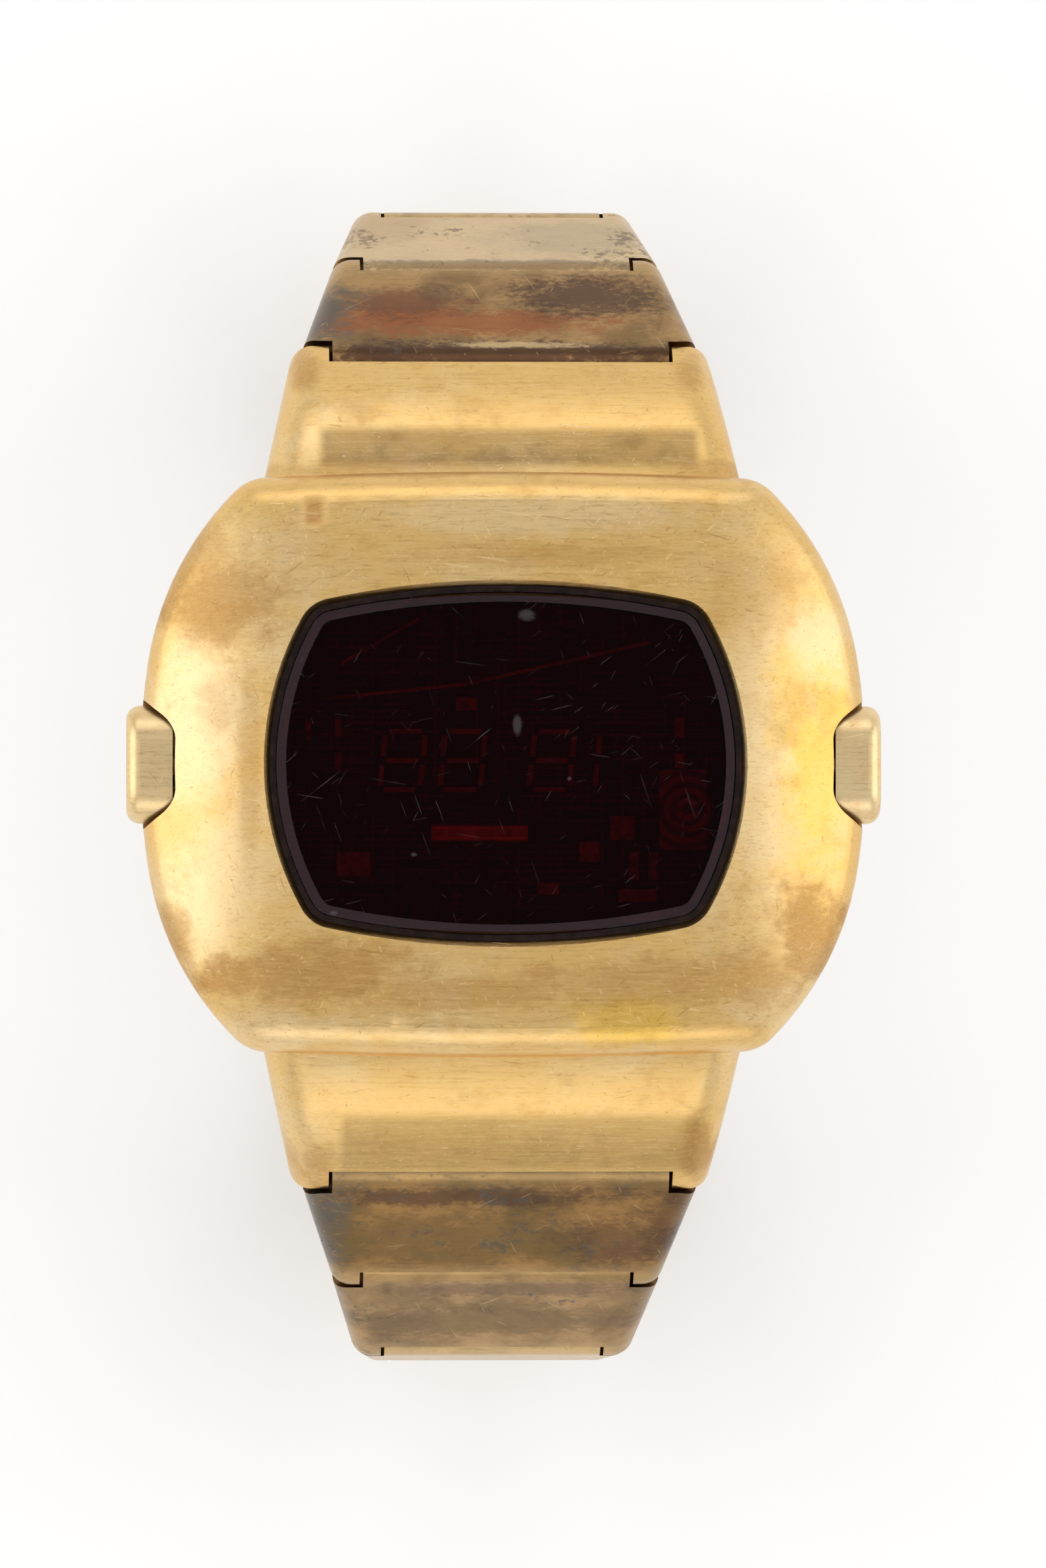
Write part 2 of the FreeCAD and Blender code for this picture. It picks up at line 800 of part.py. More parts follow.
def hinge_profile(sketch, pin_y, pin_z, side):
    """The space a knuckle turns in: round about the pin and open from there to one side."""
    radius = dim("knuckle_radius") + dim("hinge_gap")
    reach_y = pin_y + dim("link_pitch") * side
    bounded_outline(sketch, [
        ("arc", pin_y - radius * side, pin_z, radius, float(pin_y), float(pin_z)),
        ("arc", pin_y, pin_z - radius, radius, float(pin_y), float(pin_z)),
        ("line", reach_y, pin_z - radius),
        ("line", reach_y, pin_z + radius),
        ("line", pin_y, pin_z + radius),
    ])


def notch_cut(body, name, pin_y, pin_z, side, width):
    """Open a hinge notch in the middle of the band, as wide as a tongue needs."""
    sketch = new_sketch(body, name, "YZ_Plane")
    hinge_profile(sketch, pin_y, pin_z, side)
    pocket(body, sketch, width, midplane=True)


def tongue_width(number):
    """How wide the tongue is at a hinge, counted from the lug."""
    return band_width(number) - dim("ear_margin")


def band_width(number):
    """The bracelet's full width at a hinge, counted from the lug."""
    return dim("band_width_%d" % min(number, 3))


def bar_length():
    """The lug spring bar, from one ear's blind hole to the other."""
    return dim("lug_tip_width") - dim("link_side_wall") * 2


def screw_places():
    x = dim("screw_reach_x")
    y = dim("screw_reach_y")
    return [(x, y), (-x, y), (-x, -y), (x, -y)]


def button_slot(body, flip, name):
    """The pill-shaped slot in the cushion's flank, the spring's pocket and the stem's hole."""
    slot = new_sketch(body, "button_slot_" + name, "YZ_Plane", dim("slot_floor_reach") * flip)
    gap = dim("button_gap")
    rounded_box(slot, dim("button_length") + gap * 2, dim("button_height") + gap * 2,
                dim("button_height") / 2 + gap - 0.01)
    pocket(body, slot, dim("case_width"), reverse=flip > 0)
    steps = (
        ("spring_pocket", dim("spring_pocket_reach"), dim("spring_pocket_radius")),
        ("stem_hole", dim("space_width") / 2 - 1, dim("stem_radius") + dim("stem_clearance")),
    )
    for step, reach, radius in steps:
        hole = new_sketch(body, step + "_" + name, "YZ_Plane", reach * flip)
        circle(hole, 0.0, 0.0, radius)
        pocket(body, hole, dim("case_width"), reverse=flip > 0)


def build_case_shell():
    body = new_body("case_shell")
    base = new_sketch(body, "cushion_outline", "XY_Plane", -dim("case_drop"))
    cushion(base)
    pad(body, base, dim("case_drop") + dim("crown_rise") + 1)
    crown_cut(body)
    round_edges(body, "top_edge", dim("top_edge_round"), on_cushion_rim)
    round_edges(body, "bottom_edge", dim("bottom_edge_round"), on_cushion_foot)
    before = volume_of(body)
    joined = body.newObject("PartDesign::Boolean", "lugs_joined")
    joined.setObjects([build_lugs()])
    joined.Type = "Fuse"
    settle(body, joined, True, before)

    for side, end_name in ENDS:
        notch_cut(body, "lug_notch_" + end_name, dim("lug_pin_reach") * side, -dim("lug_pin_drop"),
                  side, tongue_width(0) + dim("side_gap") * 2)
        hole = new_sketch(body, "bar_hole_" + end_name, "YZ_Plane")
        circle(hole, dim("lug_pin_reach") * side, -dim("lug_pin_drop"),
               dim("pin_radius") + dim("pin_fit"))
        pocket(body, hole, bar_length(), midplane=True)

    space = new_sketch(body, "module_space", "XY_Plane", -dim("case_drop"))
    rounded_box(space, dim("space_width"), dim("space_height"), dim("space_corner"))
    pocket(body, space, dim("case_drop") + dim("space_roof"), reverse=True)
    seat = new_sketch(body, "back_gasket_seat", "XY_Plane", -dim("case_drop"))
    step = dim("back_gasket_width")
    rounded_box(seat, dim("space_width") + step * 2, dim("space_height") + step * 2,
                dim("space_corner") + step)
    pocket(body, seat, dim("back_gasket_thickness"), reverse=True)

    sill = new_sketch(body, "window_sill", "XY_Plane", dim("space_roof") - 1)
    window(sill, dim("ledge_width"))
    pocket(body, sill, dim("crown_rise"), reverse=True)
    opening = new_sketch(body, "window_opening", "XY_Plane", dim("ledge_rise"))
    window(opening, dim("ledge_width") * 0)
    pocket(body, opening, dim("crown_rise"), reverse=True)
    bevel_edges(body, "window_rim", dim("window_bevel"), on_window_rim)

    screws = new_sketch(body, "back_screw_holes", "XY_Plane", -dim("case_drop"))
    for x, y in screw_places():
        circle(screws, x, y, dim("screw_radius") + dim("pin_fit"))
    pocket(body, screws, dim("screw_length") - dim("back_thickness") + dim("screw_head_height")
           + dim("side_gap"), reverse=True)

    for flip, side_name in BUTTON_SIDES:
        button_slot(body, flip, side_name)
    return body


# Simple pieces: flat ones extruded, turned ones spun and round bars, all without a body of their own.

def extruded(name, draw, bottom, height):
    """A flat piece whose outline is drawn at the height bottom."""
    sketch = document.addObject("Sketcher::SketchObject", name + "_outline")
    draw(sketch)
    bind(sketch, "Placement.Base.z", bottom)
    item = document.addObject("Part::Extrusion", name)
    item.Base = sketch
    item.DirMode = "Normal"
    item.FaceMakerClass = "Part::FaceMakerBullseye"
    item.Solid = True
    bind(item, "LengthFwd", height)
    document.recompute()
    return item


def turned(name, corners, place=None):
    """A piece spun about Z from the corners (radius, z) of its half section."""
    sketch = document.addObject("Sketcher::SketchObject", name + "_section")
    sketch.Placement = FreeCAD.Placement(FreeCAD.Vector(), FreeCAD.Rotation(FreeCAD.Vector(1, 0, 0), 90))
    polygon(sketch, corners)
    item = document.addObject("Part::Revolution", name)
    item.Source = sketch
    item.Axis = FreeCAD.Vector(0, 0, 1)
    item.Angle = 360
    item.Solid = True
    if place is not None:
        item.Placement = place
    document.recompute()
    return item


def solid_box(name, width, depth, height, x, y, z):
    """A box given by its size and the middle of its underside."""
    item = document.addObject("Part::Box", name)
    bind(item, "Length", width)
    bind(item, "Width", depth)
    bind(item, "Height", height)
    corner = FreeCAD.Vector(float(x) - float(width) / 2, float(y) - float(depth) / 2, float(z))
    item.Placement = FreeCAD.Placement(corner, FreeCAD.Rotation())
    return item


def bar(name, radius, length, place):
    """A round bar that starts at the place and runs along its Z."""
    item = document.addObject("Part::Cylinder", name)
    bind(item, "Radius", radius)
    bind(item, "Height", length)
    item.Placement = place
    return item


def ring(name, radius, wire, place):
    item = document.addObject("Part::Torus", name)
    bind(item, "Radius1", radius)
    bind(item, "Radius2", wire)
    item.Placement = place
    return item


def spot(x, y, z, axis=None, angle=0):
    turn = FreeCAD.Rotation() if axis is None else FreeCAD.Rotation(FreeCAD.Vector(*axis), angle)
    return FreeCAD.Placement(FreeCAD.Vector(float(x), float(y), float(z)), turn)


def across(start_x, y, z):
    """The place of a bar that runs along +X."""
    return spot(start_x, y, z, (0, 1, 0), 90)


def group(name, items):
    item = document.addObject("Part::Compound", name)
    item.Links = items
    document.recompute()
    return item


def fused(name, items):
    item = document.addObject("Part::MultiFuse", name)
    item.Shapes = items
    document.recompute()
    return item


def carved(name, base, tools):
    """The base with all the tools cut out of it."""
    item = document.addObject("Part::Cut", name)
    item.Base = base
    item.Tool = tools[0] if len(tools) == 1 else fused(name + "_tools", tools)
    document.recompute()
    return item


# The window: crystal and gasket.

def build_crystal():
    body = new_body("crystal")
    outline = new_sketch(body, "crystal_outline", "XY_Plane", dim("ledge_rise") + dim("gasket_foot"))
    window(outline, dim("gasket_wall") + dim("slip"))
    pad(body, outline, dim("crystal_rise") - dim("ledge_rise") - dim("gasket_foot"))

    def on_top(point, normals):
        return point.z > float(dim("crystal_rise")) - 0.01

    bevel_edges(body, "crystal_rim", dim("crystal_bevel"), on_top)
    return body


def build_crystal_gasket():
    """An L-shaped ring: a wall beside the crystal and a foot beneath it."""
    body = new_body("crystal_gasket")
    base = dim("ledge_rise")
    outline = new_sketch(body, "gasket_outline", "XY_Plane", base + dim("slip"))
    window(outline, dim("slip"))
    pad(body, outline, dim("crystal_rise") - base - dim("crystal_bevel"))
    opening = new_sketch(body, "gasket_wall_inside", "XY_Plane", base + dim("gasket_foot"))
    window(opening, dim("gasket_wall"))
    pocket(body, opening, dim("crown_rise"), reverse=True)
    sight = new_sketch(body, "gasket_foot_inside", "XY_Plane", base)
    window(sight, dim("ledge_width"))
    pocket(body, sight, dim("crown_rise"), reverse=True)
    return body


# The back: plate, gasket, screws, hatches and cells.

def hatch_places():
    x = dim("cell_spacing") / 2
    y = -dim("cell_offset")
    return [(x, y), (-x, y)]


def build_case_back():
    body = new_body("case_back")
    low = -dim("case_drop") - dim("back_thickness")
    outline = new_sketch(body, "back_outline", "XY_Plane", low)
    rounded_box(outline, dim("back_width"), dim("back_height"), dim("back_corner"))
    pad(body, outline, dim("back_thickness"))

    def on_outer_edge(point, normals):
        return point.z < float(low) + 0.01

    round_edges(body, "back_edge", dim("back_round"), on_outer_edge)
    seats = new_sketch(body, "hatch_seats", "XY_Plane", low)
    passages = new_sketch(body, "cell_passages", "XY_Plane", low)
    for x, y in hatch_places():
        circle(seats, x, y, dim("hatch_radius") + dim("stem_clearance"))
        circle(passages, x, y, dim("hatch_radius") - dim("hatch_lip"))
    pocket(body, seats, dim("hatch_depth"), reverse=True)
    pocket(body, passages, dim("back_thickness") * 2, reverse=True)
    heads = new_sketch(body, "screw_head_seats", "XY_Plane", low)
    shanks = new_sketch(body, "screw_passages", "XY_Plane", low)
    for x, y in screw_places():
        circle(heads, x, y, dim("screw_head_radius") + dim("stem_clearance"))
        circle(shanks, x, y, dim("screw_radius") + dim("pin_fit"))
    pocket(body, heads, dim("screw_head_height") + dim("slip"), reverse=True)
    pocket(body, shanks, dim("back_thickness") * 2, reverse=True)
    return body


def build_back_gasket():
    step = (dim("back_gasket_width") - dim("slip")) * 2

    def draw(sketch):
        rounded_box(sketch, dim("space_width") + step, dim("space_height") + step,
                    dim("space_corner") + step / 2)
        rounded_box(sketch, dim("space_width"), dim("space_height"), dim("space_corner"))

    return extruded("gasket_strip", draw, -dim("case_drop"), dim("back_gasket_thickness") - dim("slip"))


def build_back_screws():
    """Four slotted cheese-head screws, heads flush with the back."""
    low = -dim("case_drop") - dim("back_thickness")
    neck = low + dim("screw_head_height")
    tip = neck + dim("screw_length")
    head = dim("screw_head_radius")
    shank = dim("screw_radius")
    screws = []
    for number, (x, y) in enumerate(screw_places(), start=1):
        place = spot(x, y, 0)
        body = turned("back_screw_%d" % number, [
            (0.0, low), (head, low), (head, neck), (shank, neck), (shank, tip), (0.0, tip)], place)
        slot = solid_box("back_screw_slot_%d" % number, head * 3, dim("screw_slot"),
                         dim("screw_slot"), x, y, low)
        screws.append(carved("slotted_screw_%d" % number, body, [slot]))
    return group("screw_set", screws)


def build_hatches():
    """Two coin-slot hatches, each with a seal groove in its rim and a boss that reaches its cell."""
    pairs = []
    low = -dim("case_drop") - dim("back_thickness")
    top = low + dim("hatch_depth") - dim("slip")
    boss = top + dim("hatch_boss_rise")
    radius = dim("hatch_radius")
    wire = dim("hatch_seal_wire")
    groove = radius - wire * 2 - dim("slip")
    middle = low + dim("hatch_depth") / 2 + wire / 2
    for (flip, side), (x, y) in zip(BUTTON_SIDES, hatch_places()):
        place = spot(x, y, 0)
        disc = turned("hatch_disc_" + side, [
            (0.0, low), (radius, low), (radius, middle - wire - dim("slip")),
            (groove, middle - wire - dim("slip")), (groove, middle + wire + dim("slip")),
            (radius, middle + wire + dim("slip")), (radius, top), (dim("hatch_boss_radius"), top),
            (dim("hatch_boss_radius"), boss), (0.0, boss)], place)
        slot = solid_box("coin_slot_" + side, dim("hatch_slot_length"), dim("hatch_slot_width"),
                         dim("hatch_slot_depth"), x, y, low)
        seal = group("placed_hatch_seal_" + side,
                     [ring("hatch_ring_" + side, radius - wire, wire, spot(x, y, middle))])
        pairs.append((side, carved("slotted_hatch_" + side, disc, [slot]), seal))
    return pairs


def build_cells():
    """Two button cells, their smaller caps towards the module."""
    top = dim("cell_top")
    rim = top - dim("cell_cap_thickness")
    low = top - dim("cell_thickness")
    cells = []
    contacts = []
    for number, (x, y) in enumerate(hatch_places(), start=1):
        place = spot(x, y, 0)
        cells.append(turned("cell_%d" % number, [
            (0.0, low), (dim("cell_radius"), low), (dim("cell_radius"), rim),
            (dim("cell_cap_radius"), rim), (dim("cell_cap_radius"), top), (0.0, top)], place))
        contacts.append(bar("contact_%d" % number, dim("contact_radius"), dim("contact_thickness"),
                            spot(x, y, top + dim("slip") / 2)))
    return group("cell_pair", cells), group("contact_pair", contacts)


# The display module.

def build_module_frame():
    """The tray that carries the board: wells for the cells and room for magnets, reeds and chip."""
    gap = dim("frame_gap") * 2
    low = dim("frame_low")

    def draw(sketch):
        rounded_box(sketch, dim("space_width") - gap, dim("space_height") - gap,
                    dim("space_corner") - gap / 2)

    tray = extruded("tray", draw, low, dim("frame_top") - low)
    tools = []
    well_depth = dim("cell_top") - low + dim("well_gap") * 2
    for number, (x, y) in enumerate(hatch_places(), start=1):
        tools.append(bar("cell_well_%d" % number, dim("cell_radius") + dim("well_gap"), well_depth,
                         spot(x, y, low)))
    for flip, side in BUTTON_SIDES:
        tools.append(solid_box("magnet_bay_" + side, dim("magnet_bay_width"), dim("magnet_bay_height"),
                               dim("frame_top") * 5, dim("space_width") / 2 * flip, 0.0,
                               -dim("magnet_bay_depth")))
        tools.append(solid_box("reed_bay_" + side, dim("reed_radius") * 2 + dim("well_gap") * 2,
                               dim("reed_length") + dim("well_gap") * 2, dim("reed_radius") * 4,
                               dim("reed_reach") * flip, dim("reed_middle"),
                               dim("frame_top") - dim("reed_radius") * 2 - dim("well_gap")))
    tools.append(solid_box("chip_bay", dim("chip_width") + dim("well_gap") * 2,
                           dim("chip_height") + dim("well_gap") * 2, dim("chip_thickness") * 2,
                           0.0, dim("chip_offset"), dim("board_bottom") - dim("chip_thickness")
                           - dim("well_gap")))
    return carved("hollowed_tray", tray, tools)


def build_reeds():
    """Two glass reed switches that the button magnets close."""
    reeds = []
    for flip, side in BUTTON_SIDES:
        low = dim("reed_middle") - dim("reed_length") / 2
        height = dim("frame_top") - dim("reed_radius") - dim("slip")
        place = spot(float(dim("reed_reach")) * flip, low, height, (1, 0, 0), -90)
        reeds.append(bar("reed_" + side, dim("reed_radius"), dim("reed_length"), place))
    return group("reed_pair", reeds)


def build_board():
    def draw(sketch):
        rounded_box(sketch, dim("board_width"), dim("board_height"), dim("board_corner"))

    return extruded("board_plate", draw, dim("board_bottom"), dim("board_top") - dim("board_bottom"))


def segment(sketch, start, end):
    """One slanted bar of a digit, between two corners of its figure of eight."""
    half = dim("digit_stroke") / 2
    lean = float(dim("digit_slant")) / float(dim("digit_height"))
    upright_bar = abs(float(end[1]) - float(start[1])) > abs(float(end[0]) - float(start[0]))
    if upright_bar:
        low = start[1] + half * 1.6
        high = end[1] - half * 1.6
        corners = [(start[0] - half, low), (start[0] + half, low),
                   (start[0] + half, high), (start[0] - half, high)]
    else:
        left = start[0] + half * 1.6
        right = end[0] - half * 1.6
        corners = [(left, start[1] - half), (right, start[1] - half),
                   (right, start[1] + half), (left, start[1] + half)]
    polygon(sketch, [(x + (y - dim("display_row")) * lean, y) for x, y in corners])


def digit(sketch, centre, whole):
    """The seven bars of a figure of eight, or just the right-hand pair that makes a one."""
    half_width = dim("digit_width") / 2
    middle = dim("display_row")
    top = middle + dim("digit_height") / 2
    low = middle - dim("digit_height") / 2
    right = half_width + centre
    left = centre - half_width
    bars = [((left, low), (left, middle)), ((left, middle), (left, top))]
    if whole:
        bars += [((right, low), (right, middle)), ((right, middle), (right, top))]
        bars += [((left, height), (right, height)) for height in (low, middle, top)]
    for start, end in bars:
        segment(sketch, start, end)


def build_digits():
    """Unlit digits, upside down in this frame as the wearer's twelve o'clock points to -Y."""
    def draw(sketch):
        for centre in DIGIT_CENTRES:
            digit(sketch, centre, True)
        digit(sketch, TENS_CENTRE, False)

    return extruded("digit_bars", draw, dim("board_top"), dim("digit_rise"))


def build_chip_parts():
    items = []
    for number, (x, y, width, height) in enumerate(CHIP_PARTS, start=1):
        items.append(solid_box("chip_part_%d" % number, width, height, dim("chip_part_rise"),
                               x, y, dim("board_top")))
    return group("chip_part_set", items)


def build_trimmer():
    """A round trimmer with a screwdriver slot, on its small panel."""
    x = dim("trimmer_x")
    y = dim("trimmer_y")
    panel = solid_box("trimmer_panel", dim("trimmer_panel_width"), dim("trimmer_panel_height"),
                      dim("trimmer_panel_rise"), x - dim("trimmer_shift"), y, dim("board_top"))
    head = dim("board_top") + dim("trimmer_panel_rise")
    disc = bar("trimmer_disc", dim("trimmer_radius"), dim("trimmer_rise"), spot(x, y, head))
    slot = solid_box("trimmer_slot", dim("trimmer_radius") * 1.4, dim("digit_stroke"),
                     dim("trimmer_rise"), x, y, head + dim("trimmer_rise") / 2)
    return fused("trimmer_whole", [panel, carved("slotted_disc", disc, [slot])])


def strip(sketch, route, half_width):
    """The outline of a flat wire that follows the route, square to it at both ends."""
    sides = ([], [])
    for index, point in enumerate(route):
        before = route[max(index - 1, 0)]
        after = route[min(index + 1, len(route) - 1)]
        run = math.hypot(after[0] - before[0], after[1] - before[1])
        normal = ((before[1] - after[1]) / run, (after[0] - before[0]) / run)
        for flip, side in zip((1, -1), sides):
            side.append((point[0] + normal[0] * half_width * flip,
                         point[1] + normal[1] * half_width * flip))
    polygon(sketch, sides[0] + sides[1][::-1])


def build_wires():
    """Flat wires that cross the board between its parts."""
    def draw(sketch):
        for route in WIRE_ROUTES:
            strip(sketch, route, dim("wire_width") / 2)

    return extruded("wire_strips", draw, dim("board_top"), dim("wire_thickness"))


# The push buttons: cap and stem, spring, magnet and seal on each side.

def build_button(flip, name):
    body = new_body("button_" + name)
    inner = dim("button_reach") - dim("button_cap")
    cap = new_sketch(body, "cap_outline_" + name, "YZ_Plane", inner * flip)
    rounded_box(cap, dim("button_length"), dim("button_height"), dim("button_height") / 2 - 0.01)
    pad(body, cap, dim("button_cap"), reverse=flip < 0)

    def on_face_rim(point, normals):
        return abs(point.x) > float(dim("button_reach")) - 0.01

    round_edges(body, "cap_edge_" + name, dim("button_round"), on_face_rim)
    recess = new_sketch(body, "spring_recess_" + name, "YZ_Plane", inner * flip)
    circle(recess, 0.0, 0.0, dim("spring_pocket_radius"))
    pocket(body, recess, dim("spring_seat_reach") - inner, reverse=flip > 0)
    start = dim("space_width") / 2 - dim("stem_clearance")
    stem = new_sketch(body, "stem_" + name, "YZ_Plane", start * flip)
    circle(stem, 0.0, 0.0, dim("stem_radius"))
    pad(body, stem, dim("spring_seat_reach") - start + dim("slip"), reverse=flip < 0)
    return body


def build_button_spring(flip, name):
    """A coil between the seal and the bottom of the cap's recess."""
    wire = dim("spring_wire")
    seat = dim("spring_pocket_reach") + dim("seal_wire") * 2
    length = dim("spring_seat_reach") - seat - wire * 2 - dim("slip") * 2
    coil = document.addObject("Part::Helix", "coil_" + name)
    bind(coil, "Radius", dim("spring_radius"))
    bind(coil, "Height", length)
    bind(coil, "Pitch", length / dim("spring_coils"))
    section = document.addObject("Part::Circle", "coil_wire_" + name)
    bind(section, "Radius", wire)
    section.Placement = spot(dim("spring_radius"), 0, 0, (1, 0, 0), 90)
    sweep = document.addObject("Part::Sweep", "spring_" + name)
    sweep.Sections = [section]
    sweep.Spine = (coil, ["Edge1"])
    sweep.Solid = True
    sweep.Frenet = True
    start = float(seat) + float(wire) + float(dim("slip"))
    sweep.Placement = spot(start * flip, 0, 0, (0, 1, 0), 90 * flip)
    return group("placed_spring_" + name, [sweep])


def build_button_magnet(flip, name):
    start = dim("space_width") / 2 - dim("stem_clearance") - dim("button_magnet_thickness")
    place = spot(float(start) * flip, 0, 0, (0, 1, 0), 90 * flip)
    return group("placed_magnet_" + name,
                 [bar("magnet_" + name, dim("button_magnet_radius"),
                      dim("button_magnet_thickness") - dim("slip") / 2, place)])


def build_button_seals():
    rings = []
    for flip, side in BUTTON_SIDES:
        middle = float(dim("spring_pocket_reach") + dim("seal_wire"))
        rings.append(ring("stem_seal_" + side, dim("seal_radius"), dim("seal_wire"),
                          spot(middle * flip, 0, 0, (0, 1, 0), 90)))
    return group("stem_seal_pair", rings)


# The bracelet.

def stadium(sketch, far_y, radius):
    """A flat bar seen from the side, with a knuckle at each end."""
    bounded_outline(sketch, [
        ("line", far_y, radius),
        ("arc", far_y + radius, 0.0, radius, far_y, 0.0),
        ("arc", far_y, -radius, radius, far_y, 0.0),
        ("line", 0.0, -radius),
        ("arc", -radius, 0.0, radius, 0.0, 0.0),
        ("arc", 0.0, radius, radius, 0.0, 0.0),
    ])


def on_link_outline(point, normals):
    """Edges between a link's flat flanks and its rounded outside."""
    flank = [abs(normal.x) > 0.9 for normal in normals]
    return sorted(flank) == [False, True]


def build_link(number):
    """One link: a tongue at its own pin, two ears at the next, tapered, hollow on the wrist side."""
    body = new_body("link_shape_%d" % number)
    pitch = dim("link_pitch")
    near = band_width(number - 1)
    far = band_width(number)
    taper = near - far
    radius = dim("knuckle_radius")
    outside = dim("case_width")
    profile = new_sketch(body, "link_profile_%d" % number, "YZ_Plane")
    stadium(profile, pitch, radius)
    pad(body, profile, near + taper, midplane=True)
    if float(taper) > 0:
        for flip, side_name in BUTTON_SIDES:
            wedge = new_sketch(body, "link_taper_%d_%s" % (number, side_name), "XY_Plane")
            polygon(wedge, [
                ((near + taper) / 2 * flip, -pitch),
                ((far - taper) / 2 * flip, pitch * 2),
                (outside * flip, pitch * 2),
                (outside * flip, -pitch),
            ])
            pocket(body, wedge, outside, midplane=True)
    round_edges(body, "link_edges_%d" % number, dim("link_round"), on_link_outline)
    for flip, side_name in BUTTON_SIDES:
        shoulder = new_sketch(body, "shoulder_%d_%s" % (number, side_name), "YZ_Plane",
                              tongue_width(number - 1) / 2 * flip)
        hinge_profile(shoulder, 0.0, 0.0, -1)
        pocket(body, shoulder, outside, reverse=flip > 0)
    notch_cut(body, "link_notch_%d" % number, pitch, 0.0, 1,
              tongue_width(number) + dim("side_gap") * 2)
    own_hole = new_sketch(body, "own_pin_hole_%d" % number, "YZ_Plane")
    circle(own_hole, 0.0, 0.0, dim("pin_radius") + dim("pin_running_gap"))
    pocket(body, own_hole, outside, midplane=True)
    next_hole = new_sketch(body, "next_pin_hole_%d" % number, "YZ_Plane")
    circle(next_hole, pitch, 0.0, dim("pin_radius") + dim("pin_fit"))
    pocket(body, next_hole, outside, midplane=True)
    inside = radius + dim("hinge_gap") + dim("link_end_wall")
    half = far / 2 - dim("link_side_wall")
    hollow = new_sketch(body, "link_hollow_%d" % number, "XY_Plane", radius - dim("link_skin"))
    box_outline(hollow, -half, half, inside, pitch - inside)
    pocket(body, hollow, radius * 2)
    return body


def copy_in_place(item, label, place):
    return keep(group("placed_" + label, [item]), label, place)


def build_bracelet():
    """Six links and six pins on each half; the two halves have the same links."""
    shapes = [build_link(number) for number in range(1, LINK_SHAPES + 1)]
    halves = (("upper", 1, upper_pins, upper_angles), ("lower", -1, lower_pins, lower_angles))
    for name, side, pins, angles in halves:
        for number in range(1, LINK_COUNT + 1):
            place = along_chain(pins[number - 1], angles[number - 1], side)
            shape = shapes[min(number, LINK_SHAPES) - 1]
            copy_in_place(shape, "%s_link_%d" % (name, number), place)
            length = band_width(number) - dim("pin_recess") * 2
            pin = bar("pin_%s_%d" % (name, number), dim("pin_radius"), length,
                      across(-float(length) / 2, dim("link_pitch"), 0))
            copy_in_place(pin, "%s_pin_%d" % (name, number), place)


def build_lug_bars():
    for side, name in ENDS:
        length = bar_length() - dim("slip") * 2
        item = bar("spring_bar_" + name, dim("pin_radius"), length,
                   across(-float(length) / 2, dim("lug_pin_reach") * side, -dim("lug_pin_drop")))
        copy_in_place(item, "lug_bar_" + name, HEAD_PLACE)


# The clasp. It lies outside down, built from its own hinge pin: +Y to the other half, +Z outside.

def build_clasp_body():
    body = new_body("clasp_body")
    inner = -dim("clasp_inside")
    outer = dim("clasp_outside")
    radius = dim("knuckle_radius")
    floor = CLASP_SPAN - dim("tongue_length") - dim("clasp_gap")
    block = new_sketch(body, "clasp_profile", "YZ_Plane")
    box_outline(block, dim("clasp_neck"), CLASP_SPAN - dim("clasp_end_gap"), inner, outer)
    pad(body, block, dim("clasp_width"), midplane=True)
    round_edges(body, "clasp_edges", dim("clasp_round"), lambda point, normals: True)
    neck = new_sketch(body, "neck_profile", "YZ_Plane")
    stadium_end(neck, dim("clasp_neck") + dim("clasp_round") + dim("clasp_gap"), radius)
    pad(body, neck, tongue_width(LINK_COUNT), midplane=True)
    hole = new_sketch(body, "clasp_pin_hole", "YZ_Plane")
    circle(hole, 0.0, 0.0, dim("pin_radius") + dim("pin_running_gap"))
    pocket(body, hole, dim("clasp_width"), midplane=True)

    half = tongue_width(LINK_COUNT) / 2 + dim("clasp_gap")
    notch = new_sketch(body, "tongue_notch", "XY_Plane")
    box_outline(notch, -half, half, floor, CLASP_SPAN)
    pocket(body, notch, dim("clasp_width"), midplane=True)
    lid_half = dim("clasp_lid_width") / 2 + dim("stem_clearance")
    under_lid = inner + dim("clasp_lid_thickness")
    seat = new_sketch(body, "lid_seat", "XY_Plane", under_lid)
    box_outline(seat, -lid_half, lid_half, dim("clasp_lid_start"), CLASP_SPAN)
    pocket(body, seat, dim("clasp_lid_thickness") * 2)
    catch_half = dim("catch_width") / 2 + dim("clasp_gap")
    catch_floor = dim("catch_low") + dim("catch_thickness") + dim("stem_clearance")
    cavity = new_sketch(body, "catch_cavity", "XY_Plane", catch_floor)
    box_outline(cavity, -catch_half, catch_half,
                floor - dim("catch_length") - dim("hinge_gap") - dim("catch_travel"), CLASP_SPAN)
    pocket(body, cavity, catch_floor - inner + 1)
    wing = floor - dim("hinge_gap") - dim("catch_length") + dim("catch_wing_start")
    slots = new_sketch(body, "wing_slots", "YZ_Plane")
    box_outline(slots, wing - dim("side_gap"),
                wing + dim("catch_wing_length") + dim("catch_travel") + dim("side_gap"),
                under_lid, catch_floor)
    pocket(body, slots, dim("catch_wing_width") * 2, midplane=True)
    bore = new_sketch(body, "magnet_bore", "YZ_Plane", dim("clasp_width") / 2 - dim("bore_depth"))
    circle(bore, dim("magnet_offset"), 0.0, dim("bore_radius"))
    pocket(body, bore, dim("clasp_width"), reverse=True)
    return body


def stadium_end(sketch, far_y, radius):
    """A knuckle about the origin that runs straight on to far_y."""
    bounded_outline(sketch, [
        ("line", far_y, radius),
        ("line", far_y, -radius),
        ("line", 0.0, -radius),
        ("arc", -radius, 0.0, radius, 0.0, 0.0),
        ("arc", 0.0, radius, radius, 0.0, 0.0),
    ])


